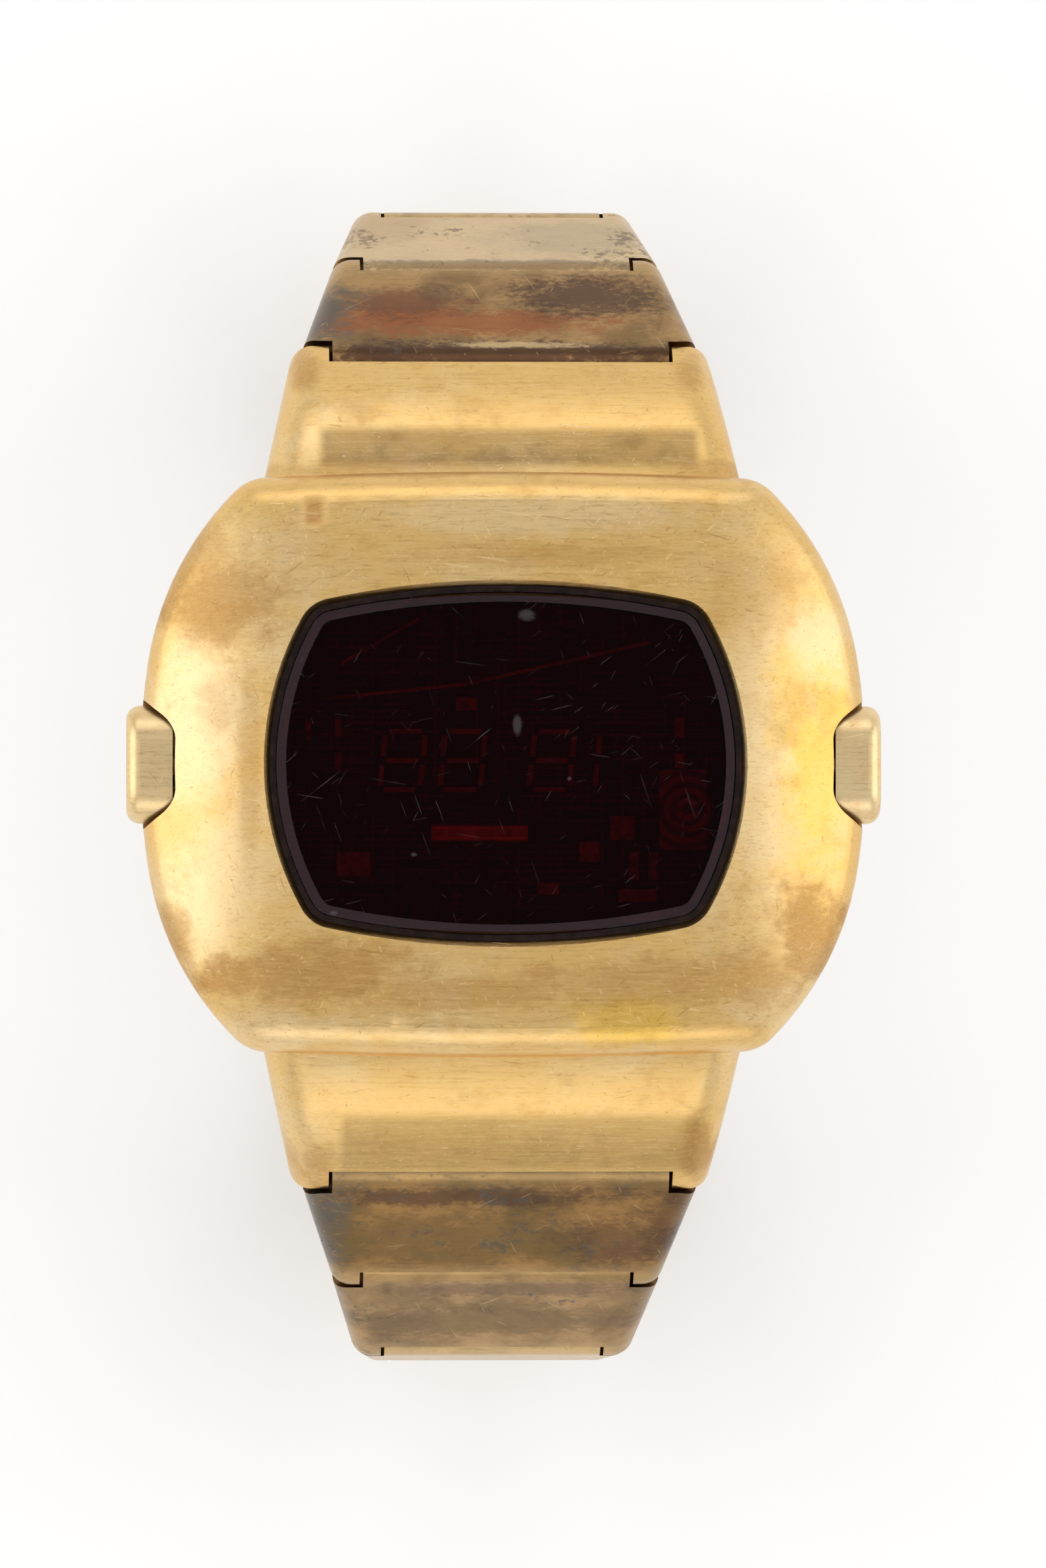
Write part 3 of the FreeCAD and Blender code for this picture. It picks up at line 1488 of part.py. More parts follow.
def build_clasp_lid():
    half = dim("clasp_lid_width") / 2
    end = CLASP_SPAN - dim("tongue_length") - dim("clasp_gap")

    def draw(sketch):
        box_outline(sketch, -half, half, dim("clasp_lid_start") + dim("stem_clearance"), end)

    return extruded("lid_plate", draw, -dim("clasp_inside"), dim("clasp_lid_thickness") - dim("slip"))


def build_catch():
    """The sliding catch: a plate with a finger wing on each side."""
    front = CLASP_SPAN - dim("tongue_length") - dim("clasp_gap") - dim("hinge_gap")
    back = front - dim("catch_length")
    wing = back + dim("catch_wing_start")
    wing_end = wing + dim("catch_wing_length")
    half = dim("catch_width") / 2
    reach = dim("catch_wing_width") / 2

    def draw(sketch):
        polygon(sketch, [
            (-half, back), (half, back), (half, wing), (reach, wing), (reach, wing_end),
            (half, wing_end), (half, front), (-half, front), (-half, wing_end),
            (-reach, wing_end), (-reach, wing), (-half, wing)])

    return extruded("catch_plate", draw, dim("catch_low"), dim("catch_thickness"))


def build_clasp_tongue():
    body = new_body("clasp_tongue")
    radius = dim("knuckle_radius")
    outer = dim("clasp_outside")
    length = dim("tongue_length")
    profile = new_sketch(body, "tongue_profile", "YZ_Plane")
    bounded_outline(profile, [
        ("line", radius, outer),
        ("line", length, outer),
        ("line", length, -radius),
        ("line", 0.0, -radius),
        ("arc", -radius, 0.0, radius, 0.0, 0.0),
        ("arc", 0.0, radius, radius, 0.0, 0.0),
    ])
    pad(body, profile, tongue_width(LINK_COUNT), midplane=True)
    hole = new_sketch(body, "tongue_pin_hole", "YZ_Plane")
    circle(hole, 0.0, 0.0, dim("pin_radius") + dim("pin_running_gap"))
    pocket(body, hole, dim("clasp_width"), midplane=True)
    slot = new_sketch(body, "tongue_slot", "YZ_Plane")
    box_outline(slot, length - dim("tongue_slot_depth"), length + 1,
                dim("catch_low") - dim("side_gap"),
                dim("catch_low") + dim("catch_thickness") + dim("side_gap"))
    pocket(body, slot, dim("catch_width") + dim("clasp_gap") * 2, midplane=True)
    return body


# Everything is built and put in its place.

def build_head():
    keep(build_case_shell(), "case_shell", HEAD_PLACE)
    keep(build_crystal(), "crystal", HEAD_PLACE)
    keep(build_crystal_gasket(), "crystal_gasket", HEAD_PLACE)
    keep(build_case_back(), "case_back", HEAD_PLACE)
    keep(build_back_gasket(), "back_gasket", HEAD_PLACE)
    keep(build_back_screws(), "back_screws", HEAD_PLACE)
    for side, hatch, seal in build_hatches():
        keep(hatch, "battery_hatch_" + side, HEAD_PLACE)
        keep(seal, "hatch_seal_" + side, HEAD_PLACE)
    cells, contacts = build_cells()
    keep(cells, "battery_cells", HEAD_PLACE)
    keep(contacts, "battery_contacts", HEAD_PLACE)
    build_lug_bars()


def build_module():
    keep(build_module_frame(), "module_frame", HEAD_PLACE)
    keep(build_board(), "display_board", HEAD_PLACE)
    keep(build_digits(), "led_digits", HEAD_PLACE)
    chip = solid_box("chip_block", dim("chip_width"), dim("chip_height"), dim("chip_thickness"),
                     0.0, dim("chip_offset"), dim("board_bottom") - dim("chip_thickness") - dim("slip"))
    keep(group("placed_chip", [chip]), "logic_chip", HEAD_PLACE)
    can = bar("can_tube", dim("can_radius"), dim("can_length"),
              across(dim("can_x") - dim("can_length") / 2, dim("can_y"),
                     dim("board_top") + dim("can_radius")))
    keep(group("placed_can", [can]), "quartz_can", HEAD_PLACE)
    keep(build_trimmer(), "trimmer", HEAD_PLACE)
    keep(build_chip_parts(), "chip_components", HEAD_PLACE)
    keep(build_wires(), "board_wires", HEAD_PLACE)
    keep(build_reeds(), "reed_switches", HEAD_PLACE)


def build_buttons():
    for flip, name in BUTTON_SIDES:
        keep(build_button(flip, name), "button_" + name, HEAD_PLACE)
        keep(build_button_spring(flip, name), "button_spring_" + name, HEAD_PLACE)
        keep(build_button_magnet(flip, name), "button_magnet_" + name, HEAD_PLACE)
    keep(build_button_seals(), "button_seals", HEAD_PLACE)


def build_clasp():
    clasp_place = along_chain(upper_pins[-1], 180, 1)
    keep(build_clasp_body(), "clasp_body", clasp_place)
    keep(build_clasp_lid(), "clasp_lid", clasp_place)
    keep(build_catch(), "catch_slide", clasp_place)
    start = dim("clasp_width") / 2 - dim("bore_depth") + dim("stem_clearance") * 2
    magnet = bar("bar_magnet", dim("magnet_radius"), dim("magnet_length"),
                 across(start, dim("magnet_offset"), 0))
    copy_in_place(magnet, "setting_magnet", clasp_place)
    keep(build_clasp_tongue(), "clasp_tongue", along_chain(lower_pins[-1], 180, -1))


CLASP_SPAN = Size(clasp_span, repr(round(clasp_span, 4)))

build_head()
build_module()
build_buttons()
build_bracelet()
build_clasp()

document.recompute()
failed = [item.Name for item in document.Objects
          if "Invalid" in item.State or "Error" in item.State]
for label, item in nodes.items():
    if item.Shape.isNull() or not item.Shape.isValid():
        failed.append(label)
if failed:
    raise RuntimeError("these failed: " + ", ".join(failed))
os.makedirs("parts", exist_ok=True)
for label, item in nodes.items():
    item.Shape.exportStep("parts/" + label + ".step")
print(len(nodes), "nodes written")
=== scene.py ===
import json
import math

import bpy
from mathutils import Matrix, Vector


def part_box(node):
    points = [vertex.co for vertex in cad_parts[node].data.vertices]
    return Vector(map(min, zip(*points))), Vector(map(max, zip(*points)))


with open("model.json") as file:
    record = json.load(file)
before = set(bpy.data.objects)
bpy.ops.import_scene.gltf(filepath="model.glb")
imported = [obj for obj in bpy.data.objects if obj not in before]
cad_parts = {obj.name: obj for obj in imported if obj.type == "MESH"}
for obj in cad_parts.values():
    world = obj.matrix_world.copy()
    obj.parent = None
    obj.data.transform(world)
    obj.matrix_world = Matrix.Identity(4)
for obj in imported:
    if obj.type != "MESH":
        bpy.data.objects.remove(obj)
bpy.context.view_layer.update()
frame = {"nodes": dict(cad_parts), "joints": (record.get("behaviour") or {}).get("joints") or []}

# A gold-filled LED wristwatch of the 1970s, standing on its closed bracelet and seen from above.
# Lengths are in metres unless a name says mm. Surface patterns are laid out in millimetres.

MM = 0.001
# Height of the case's widest plane above the floor.
GIRTH = 0.04908
# The photo's height in pixels, and its pixels to the millimetre at that plane.
PHOTO_HEIGHT = 2351
PHOTO_SCALE = 27.2
CAMERA_DISTANCE = 0.550
CAMERA_LEAN_X = math.radians(-2.0)
CAMERA_LEAN_Y = math.radians(-1.1)
AIM_X = 1.08 * MM
AIM_Y = -1.05 * MM
SENSOR = 36.0
LENS_NEAR = 0.01
LENS_FAR = 20.0


# Small helpers for shader trees.

def node(tree, kind, inputs=None, **settings):
    """A shader node with its settings and plain input values."""
    made = tree.nodes.new("ShaderNode" + kind)
    for name, value in settings.items():
        setattr(made, name, value)
    for name, value in (inputs or {}).items():
        if hasattr(value, "is_output"):
            tree.links.new(value, made.inputs[name])
        else:
            made.inputs[name].default_value = value
    return made


def maths(tree, operation, first, second=0.0, clamp=False):
    return node(tree, "Math", {0: first, 1: second}, operation=operation, use_clamp=clamp).outputs[0]


def blend(tree, factor, first, second):
    """Two colours mixed by a mask."""
    made = node(tree, "Mix", data_type="RGBA", blend_type="MIX")
    for index, value in ((0, factor), (6, first), (7, second)):
        if hasattr(value, "is_output"):
            tree.links.new(value, made.inputs[index])
        else:
            made.inputs[index].default_value = value
    return made.outputs[2]


def spread(tree, value, low, high, new_low=0.0, new_high=1.0):
    """The value's range from low to high laid over a new range, with soft ends."""
    made = node(tree, "MapRange", {"Value": value, "From Min": low, "From Max": high,
                                   "To Min": new_low, "To Max": new_high},
                interpolation_type="SMOOTHSTEP", clamp=True)
    return made.outputs["Result"]


def noise(tree, vector, scale, detail=3.0, roughness=0.55, distortion=0.0):
    made = node(tree, "TexNoise", {"Vector": vector, "Scale": scale, "Detail": detail,
                                   "Roughness": roughness, "Distortion": distortion})
    return made.outputs["Fac"]


def turned_and_scaled(tree, vector, turn=(0, 0, 0), scale=(1, 1, 1), shift=(0, 0, 0)):
    made = node(tree, "Mapping", {"Vector": vector, "Location": shift, "Scale": scale,
                                  "Rotation": tuple(math.radians(angle) for angle in turn)})
    return made.outputs["Vector"]


def new_group(name, inputs, outputs):
    """An empty shader group with named float or vector sockets."""
    kinds = {"float": "NodeSocketFloat", "vector": "NodeSocketVector"}
    tree = bpy.data.node_groups.new(name, "ShaderNodeTree")
    for label, kind, value in inputs:
        socket = tree.interface.new_socket(label, in_out="INPUT", socket_type=kinds[kind])
        if value is not None:
            socket.default_value = value
    for label, kind in outputs:
        tree.interface.new_socket(label, in_out="OUTPUT", socket_type=kinds[kind])
    entry = tree.nodes.new("NodeGroupInput").outputs
    leave = tree.nodes.new("NodeGroupOutput").inputs
    return tree, entry, leave


def use(tree, group, **inputs):
    """A group placed in a material with its own values."""
    made = tree.nodes.new("ShaderNodeGroup")
    made.node_tree = group
    for name, value in inputs.items():
        socket = made.inputs[name]
        if hasattr(value, "is_output"):
            tree.links.new(value, socket)
        else:
            socket.default_value = value
    return made.outputs


# Effects that several finishes share.

def make_grain_group():
    """Fine brushed lines that run along X."""
    tree, entry, leave = new_group(
        "brushed_grain", [("Vector", "vector", None), ("Pitch", "float", 9.0)],
        [("Height", "float"), ("Tone", "float")])
    long_lines = turned_and_scaled(tree, entry["Vector"], scale=(0.045, 1.0, 1.0))
    short_lines = turned_and_scaled(tree, entry["Vector"], turn=(0, 0, 3), scale=(0.15, 1.0, 1.0))
    first = noise(tree, long_lines, entry["Pitch"], 4.0, 0.7)
    second = noise(tree, short_lines, maths(tree, "MULTIPLY", entry["Pitch"], 2.3), 3.0, 0.7)
    both = maths(tree, "ADD", maths(tree, "MULTIPLY", first, 0.6), maths(tree, "MULTIPLY", second, 0.4))
    tree.links.new(both, leave["Height"])
    tree.links.new(spread(tree, both, 0.32, 0.68), leave["Tone"])
    return tree


SCRATCH_DIRECTIONS = (
    ((0, 0, 9), (0.10, 2.6, 2.6), (0, 0, 0)),
    ((0, 0, 71), (0.13, 3.4, 3.4), (31, 7, 3)),
    ((0, 0, -38), (0.16, 3.0, 3.0), (11, 47, 9)),
    ((0, 0, 118), (0.22, 4.6, 4.6), (5, 23, 61)),
    ((0, 0, -14), (0.12, 3.8, 3.8), (71, 13, 29)),
    ((0, 0, 44), (0.18, 4.2, 4.2), (37, 83, 17)),
)


def make_scratch_group():
    """Thin straight scratches in several directions, broken up along their length."""
    tree, entry, leave = new_group(
        "fine_scratches", [("Vector", "vector", None), ("Amount", "float", 0.5)],
        [("Mask", "float")])
    level = maths(tree, "SUBTRACT", 0.80, maths(tree, "MULTIPLY", entry["Amount"], 0.14))
    total = None
    for turn, scale, shift in SCRATCH_DIRECTIONS:
        turned = turned_and_scaled(tree, entry["Vector"], turn=turn, shift=shift)
        lines = noise(tree, turned_and_scaled(tree, turned, scale=scale), 1.0, 1.5, 0.6)
        sharp = spread(tree, lines, level, maths(tree, "ADD", level, 0.03))
        total = sharp if total is None else maths(tree, "MAXIMUM", total, sharp)
    tree.links.new(total, leave["Mask"])
    return tree


def make_patch_group():
    """One stain with a ragged edge, as an oval about a centre."""
    tree, entry, leave = new_group(
        "ragged_stain", [("Vector", "vector", None), ("Centre", "vector", (0, 0, 0)),
                         ("Reach", "vector", (1, 1, 1)), ("Raggedness", "float", 0.6),
                         ("Grit", "float", 1.0), ("Seed", "float", 0.0)],
        [("Mask", "float")])
    offset = node(tree, "VectorMath", {0: entry["Vector"], 1: entry["Centre"]}, operation="SUBTRACT")
    ratio = node(tree, "VectorMath", {0: offset.outputs[0], 1: entry["Reach"]}, operation="DIVIDE")
    length = node(tree, "VectorMath", {0: ratio.outputs[0]}, operation="LENGTH").outputs["Value"]
    moved = node(tree, "VectorMath", {0: entry["Vector"], 1: entry["Seed"]}, operation="ADD").outputs[0]
    coarse = maths(tree, "SUBTRACT", noise(tree, moved, 0.42, 5.0, 0.6, 0.5), 0.5)
    coarse = maths(tree, "MULTIPLY", coarse, maths(tree, "MULTIPLY", entry["Raggedness"], 3.0))
    streaked = turned_and_scaled(tree, moved, scale=(0.55, 1.0, 1.0))
    fine = maths(tree, "SUBTRACT", noise(tree, streaked, 3.2, 5.0, 0.8), 0.5)
    fine = maths(tree, "MULTIPLY", fine, maths(tree, "MULTIPLY", entry["Grit"], 1.1))
    ragged = maths(tree, "ADD", length, maths(tree, "ADD", coarse, fine))
    tree.links.new(spread(tree, ragged, 1.30, 0.50), leave["Mask"])
    return tree


def make_speckle_group():
    """Small dark specks that gather in clouds."""
    tree, entry, leave = new_group(
        "speckle", [("Vector", "vector", None), ("Amount", "float", 0.5), ("Size", "float", 2.2)],
        [("Mask", "float")])
    clouds = noise(tree, entry["Vector"], 0.28, 4.0, 0.6)
    specks = noise(tree, entry["Vector"], entry["Size"], 5.0, 0.72)
    clouds = maths(tree, "MULTIPLY", clouds, 0.55)
    specks = maths(tree, "MULTIPLY", specks, 0.45)
    mixed = maths(tree, "ADD", clouds, specks)
    level = maths(tree, "SUBTRACT", 0.66, maths(tree, "MULTIPLY", entry["Amount"], 0.20))
    tree.links.new(spread(tree, mixed, level, maths(tree, "ADD", level, 0.05)), leave["Mask"])
    return tree


grain_group = make_grain_group()
scratch_group = make_scratch_group()
patch_group = make_patch_group()
speckle_group = make_speckle_group()


def in_mm(tree):
    """Places on the piece in millimetres, in the frame that the piece is modelled in."""
    coords = node(tree, "TexCoord")
    return node(tree, "VectorMath", {0: coords.outputs["Object"], "Scale": 1000.0},
                operation="SCALE").outputs[0]


def new_material(name):
    material = bpy.data.materials.new(name)
    material.use_nodes = True
    tree = material.node_tree
    shader = tree.nodes["Principled BSDF"]
    return material, tree, shader


def bump(tree, height, strength, distance_mm, normal=None):
    made = node(tree, "Bump", {"Height": height, "Strength": strength, "Distance": distance_mm * MM})
    if normal is not None:
        tree.links.new(normal, made.inputs["Normal"])
    return made.outputs["Normal"]


# Gold of the case. Stains, painted highlights and painted reflections are placed in the dial plane: middle,
# reach, raggedness and strength.

GOLD = (0.74, 0.480, 0.175, 1)
CREAM = (0.78, 0.595, 0.33, 1)
HONEY = (0.58, 0.330, 0.100, 1)
TARNISH_AND_SHADE = (0.37, 0.180, 0.050, 1)
YELLOW = (0.76, 0.48, 0.090, 1)
DARK_GRAIN_AND_REFLECTION = (0.28, 0.175, 0.062, 1)
DARK_REFLECTION = (0.15, 0.090, 0.034, 1)

TARNISH_AND_DARK_REFLECTION = (
    ((-15.4, 8.8), (3.8, 2.6), 0.7, 0.70),
    ((-17.2, 10.8), (2.0, 2.4), 0.6, 0.50),
    ((-10.5, -11.6), (6.8, 1.8), 0.8, 0.80),
    ((-3.0, -12.6), (5.0, 1.1), 0.8, 0.60),
    ((8.0, -12.0), (8.5, 1.3), 0.9, 0.60),
    ((17.0, -9.0), (1.9, 3.2), 0.8, 0.75),
    ((13.8, -11.6), (2.6, 2.0), 0.7, 0.60),
    ((2.0, 11.4), (7.0, 0.8), 0.6, 0.50),
    ((13.5, 9.5), (3.0, 3.0), 0.8, 0.35),
    # This one is a painted dark reflection: a streak along the inner edge of the left flank's bright zone.
    ((-14.0, 0.0), (0.7, 5.8), 0.3, 0.45),
    ((-18.4, -9.4), (1.4, 1.8), 0.7, 0.60),
    ((-6.0, 16.2), (9.0, 0.6), 0.6, 0.40),
    ((13.5, 16.2), (4.5, 0.7), 0.5, 0.50),
    ((-10.8, 21.8), (0.9, 1.3), 0.5, 0.60),
    ((10.4, 21.8), (0.9, 1.3), 0.5, 0.50),
    ((-10.2, -22.0), (1.3, 1.1), 0.6, 0.60),
    ((11.0, -21.2), (1.0, 1.8), 0.6, 0.75),
)
YELLOW_STAINS = (
    ((6.8, -14.0), (3.4, 1.4), 0.6, 0.80),
    ((17.2, -0.6), (2.2, 5.2), 0.9, 0.70),
    ((15.6, 3.5), (1.6, 3.0), 0.8, 0.50),
)
# Painted highlights: cream patches where the case's flanks, top and bottom catch the light.
PAINTED_HIGHLIGHTS = (
    ((-17.0, 2.8), (2.9, 4.8), 0.4, 0.90),
    ((17.0, 6.4), (2.0, 2.8), 0.5, 0.70),
    ((-15.6, -6.0), (2.6, 3.0), 0.5, 0.55),
    ((1.0, 13.6), (10.0, 1.1), 0.5, 0.60),
    ((15.0, -13.2), (3.0, 1.4), 0.5, 0.60),
    ((-12.0, -14.6), (4.0, 1.0), 0.5, 0.55),
    ((13.6, 1.5), (2.2, 8.5), 0.5, 0.60),
)

CASE_GRIT = 0.65
TARNISH_AND_SHADE_STRENGTH = 0.78

# How strongly each effect tints the gold, and how much finer than the groups its scratches are.
FLANK_SHADE_STRENGTH = 0.55
MOTTLE_STRENGTH = 0.45
PIT_STRENGTH = 0.45
DARK_LINE_STRENGTH = 0.30
LIGHT_LINE_STRENGTH = 0.25
SCRATCH_STRENGTH = 0.45
SCRATCH_FINENESS = (1.7, 1.7, 1.7)

# The flat of each lug gets a painted dark reflection, a rectangular band: colour, middle and half size
# in the dial plane, and strength.
LUG_DARK_REFLECTIONS = (
    (DARK_REFLECTION, (0.35, 17.55), (10.4, 1.05), 0.80),
    (DARK_GRAIN_AND_REFLECTION, (1.00, -20.90), (9.9, 1.55), 0.62),
)
BAND_EDGE = 0.38

# A sliver of the blend beside the upper lug would glint, so the gold there is painted darker in the
# tarnished brown, as painted shade over the glint, and is made rough.
GLINT_PLACE = (-10.5, 13.8)
GLINT_REACH = (0.55, 0.75)
GLINT_EDGE = 0.35
GLINT_ROUGHNESS = 0.35
GLINT_SHADE = 0.45

# The case's flank turns from gold to honey between these heights, as painted shade on the steep outer
# flank.
FLANK_TOP = 46.4
FLANK_FOOT = 42.6
FLANK_HALF_LENGTH = (15.5, 17.0)


def box_mask(tree, place, middle, reach, edge):
    """An upright rectangle in the dial plane, with soft edges."""
    mask = None
    for axis, centre, half in zip("XY", middle, reach):
        offset = maths(tree, "ABSOLUTE", maths(tree, "SUBTRACT", place[axis], centre))
        side = spread(tree, offset, half + edge, half - edge)
        mask = side if mask is None else maths(tree, "MULTIPLY", mask, side)
    return mask


def patch_total(tree, where, stains, first_seed):
    """All the patches of one list as a single mask; the lists hold stains, painted highlights and a painted
    reflection.
    """
    total = None
    for number, (middle, reach, raggedness, strength) in enumerate(stains):
        mask = use(tree, patch_group, Vector=where, Centre=(middle[0], middle[1], GIRTH / MM),
                   Reach=(reach[0], reach[1], 60.0), Raggedness=raggedness, Grit=CASE_GRIT,
                   Seed=first_seed + number * 17.0)["Mask"]
        mask = maths(tree, "MULTIPLY", mask, strength)
        total = mask if total is None else maths(tree, "MAXIMUM", total, mask)
    return total


def worn_gold_and_painted_light(name, stains_and_painted_light, scratch_amount, paleness=0.0):
    """Brushed gold filling: grain along X, cloudy tone, stains, scratches and a soft sheen, and on the case
    painted shade, painted highlights and painted dark reflections.
    """
    material, tree, shader = new_material(name)
    where = in_mm(tree)
    place = node(tree, "SeparateXYZ", {0: where}).outputs
    grain = use(tree, grain_group, Vector=where, Pitch=7.0)
    finer = turned_and_scaled(tree, where, scale=SCRATCH_FINENESS)
    scratches = use(tree, scratch_group, Vector=finer, Amount=scratch_amount)["Mask"]
    clouds = noise(tree, where, 0.11, 5.0, 0.6)
    mottle = noise(tree, where, 0.55, 6.0, 0.65)
    pale = maths(tree, "MULTIPLY", spread(tree, clouds, 0.45, 0.70), 0.7)
    pale = maths(tree, "ADD", pale, paleness, True)
    color = blend(tree, pale, GOLD, CREAM)
    honeyed = maths(tree, "MULTIPLY", spread(tree, mottle, 0.50, 0.72), MOTTLE_STRENGTH)
    color = blend(tree, honeyed, color, HONEY)
    tarnish_and_shade = spread(tree, noise(tree, where, 0.17, 6.0, 0.68), 0.54, 0.70)
    tarnish_and_shade = maths(tree, "MULTIPLY", tarnish_and_shade, 0.35)
    if stains_and_painted_light:
        # Painted shade: darker honey low on the flank of the case body.
        low = spread(tree, place["Z"], FLANK_TOP, FLANK_FOOT)
        aside = maths(tree, "ABSOLUTE", place["Y"])
        far = spread(tree, aside, FLANK_HALF_LENGTH[1], FLANK_HALF_LENGTH[0])
        flank = maths(tree, "MULTIPLY", maths(tree, "MULTIPLY", low, far), FLANK_SHADE_STRENGTH)
        color = blend(tree, flank, color, HONEY)
        tarnish_and_shade = maths(tree, "MAXIMUM", tarnish_and_shade, patch_total(tree, where, TARNISH_AND_DARK_REFLECTION, 3.0))
        # Painted highlights in cream.
        color = blend(tree, patch_total(tree, where, PAINTED_HIGHLIGHTS, 401.0), color, CREAM)
        color = blend(tree, patch_total(tree, where, YELLOW_STAINS, 211.0), color, YELLOW)
        # Painted dark reflections: a darker rectangular band on the flat of each lug.
        for band_color, middle, reach, strength in LUG_DARK_REFLECTIONS:
            band = box_mask(tree, place, middle, reach, BAND_EDGE)
            uneven = spread(tree, mottle, 0.30, 0.65, strength, strength * 0.7)
            color = blend(tree, maths(tree, "MULTIPLY", band, uneven), color, band_color)
        glint = box_mask(tree, place, GLINT_PLACE, GLINT_REACH, GLINT_EDGE)
        # Painted shade over the glint of a sliver in the blend.
        tarnish_and_shade = maths(tree, "MAXIMUM", tarnish_and_shade, maths(tree, "MULTIPLY", glint, GLINT_SHADE))
    # Tarnished patches, the painted shade over the glint and the painted dark reflection on the left flank,
    # all in one brown.
    color = blend(tree, maths(tree, "MULTIPLY", tarnish_and_shade, TARNISH_AND_SHADE_STRENGTH), color, TARNISH_AND_SHADE)
    pits = spread(tree, noise(tree, where, 2.6, 4.0, 0.75), 0.66, 0.74)
    color = blend(tree, maths(tree, "MULTIPLY", pits, PIT_STRENGTH), color, TARNISH_AND_SHADE)
    dark_lines = spread(tree, grain["Tone"], 0.45, 0.0)
    color = blend(tree, maths(tree, "MULTIPLY", dark_lines, DARK_LINE_STRENGTH), color, DARK_GRAIN_AND_REFLECTION)
    light_lines = spread(tree, grain["Tone"], 0.55, 1.0)
    color = blend(tree, maths(tree, "MULTIPLY", light_lines, LIGHT_LINE_STRENGTH), color, CREAM)
    color = blend(tree, maths(tree, "MULTIPLY", scratches, SCRATCH_STRENGTH), color, CREAM)
    elsewhere = turned_and_scaled(tree, finer, shift=(57.0, 91.0, 13.0))
    dark_scratches = use(tree, scratch_group, Vector=elsewhere, Amount=scratch_amount)["Mask"]
    color = blend(tree, maths(tree, "MULTIPLY", dark_scratches, SCRATCH_STRENGTH), color, TARNISH_AND_SHADE)
    tree.links.new(color, shader.inputs["Base Color"])
    rough = maths(tree, "ADD", 0.24, maths(tree, "MULTIPLY", grain["Tone"], 0.08))
    rough = maths(tree, "ADD", rough, maths(tree, "MULTIPLY", mottle, 0.12))
    rough = maths(tree, "ADD", rough, maths(tree, "MULTIPLY", tarnish_and_shade, 0.18))
    if stains_and_painted_light:
        rough = maths(tree, "ADD", rough, maths(tree, "MULTIPLY", glint, GLINT_ROUGHNESS))
    tree.links.new(rough, shader.inputs["Roughness"])
    shader.inputs["Metallic"].default_value = 1.0
    normal = bump(tree, grain["Height"], 0.30, 0.02)
    normal = bump(tree, scratches, 0.35, -0.02, normal)
    normal = bump(tree, clouds, 0.25, 0.25, normal)
    tree.links.new(normal, shader.inputs["Normal"])
    return material


# Gold of the bracelet. Each link is its own: its tone, its stains and its paler ends, and the first upper
# link has painted shade and a painted highlight on its knuckle.

BRONZE = (0.33, 0.180, 0.060, 1)
PALE_TAN = (0.62, 0.44, 0.22, 1)
OLIVE = (0.175, 0.105, 0.036, 1)
PURPLE_BROWN = (0.070, 0.034, 0.022, 1)
FLAME = (0.28, 0.080, 0.022, 1)
PATINA = (0.105, 0.100, 0.088, 1)

# How dark, how blotched and how speckled each link is, and how much paler at its far and its near end.
LINK_LOOKS = {
    "upper_link_1": {"tone": 0.80, "stain": 0.30, "patina": 0.25, "far": 0.35, "near": 0.0},
    "upper_link_2": {"tone": 0.05, "stain": 0.10, "patina": 0.62, "far": 0.30, "near": 0.20},
    "upper_link_3": {"tone": 0.30, "stain": 0.35, "patina": 0.40, "far": 0.40, "near": 0.25},
    "lower_link_1": {"tone": 1.00, "stain": 0.30, "patina": 0.50, "far": 0.40, "near": 0.35},
    "lower_link_2": {"tone": 0.75, "stain": 0.35, "patina": 0.40, "far": 0.40, "near": 0.30},
    "lower_link_3": {"tone": 0.15, "stain": 0.15, "patina": 0.30, "far": 0.45, "near": 0.30},
}
PLAIN_LINK = {"tone": 0.45, "stain": 0.35, "patina": 0.40, "far": 0.45, "near": 0.30}

# Stains of their own, and on the first upper link's knuckle painted shade and a painted highlight:
# colour, place across and along the link, reach across and along, strength.
LINK_PATCHES = {
    "upper_link_1": (
        (FLAME, (-3.0, 2.6), (9.5, 1.4), 0.75),
        (FLAME, (-5.5, 4.4), (3.6, 1.6), 0.60),
        (PURPLE_BROWN, (4.6, 5.4), (4.0, 2.4), 0.85),
        (PURPLE_BROWN, (-5.0, 4.8), (3.6, 1.8), 0.50),
        (PATINA, (-9.8, 3.8), (1.8, 2.6), 0.75),
        # Painted shade: the knuckle's dark roll where it turns down into the lug's notch.
        (PURPLE_BROWN, (0.0, -0.5), (13.0, 1.2), 0.90),
        # Painted highlight along the middle of that knuckle.
        (PALE_TAN, (1.0, 0.3), (4.0, 0.30), 0.70),
    ),
    "upper_link_2": (
        (PATINA, (4.2, 4.4), (4.6, 3.0), 0.25),
        (BRONZE, (-6.5, 6.0), (3.0, 2.5), 0.30),
        (PURPLE_BROWN, (0.0, -0.4), (12.0, 0.7), 0.60),
    ),
    "lower_link_1": (
        (PURPLE_BROWN, (-2.0, 1.0), (9.0, 0.9), 0.70),
        (PATINA, (-9.8, 4.0), (1.5, 4.5), 0.80),
        (PURPLE_BROWN, (6.5, 5.0), (3.6, 2.4), 0.55),
        (PURPLE_BROWN, (9.8, 3.0), (1.2, 3.0), 0.50),
        (OLIVE, (-3.0, 5.0), (6.5, 2.6), 0.70),
    ),
    "lower_link_2": (
        (PURPLE_BROWN, (2.0, 0.9), (8.0, 0.8), 0.50),
        (OLIVE, (-1.0, 4.8), (8.0, 1.8), 0.75),
    ),
}
LINK_GRIT = 2.2
LINK_SCRATCH_STRENGTH = 0.40


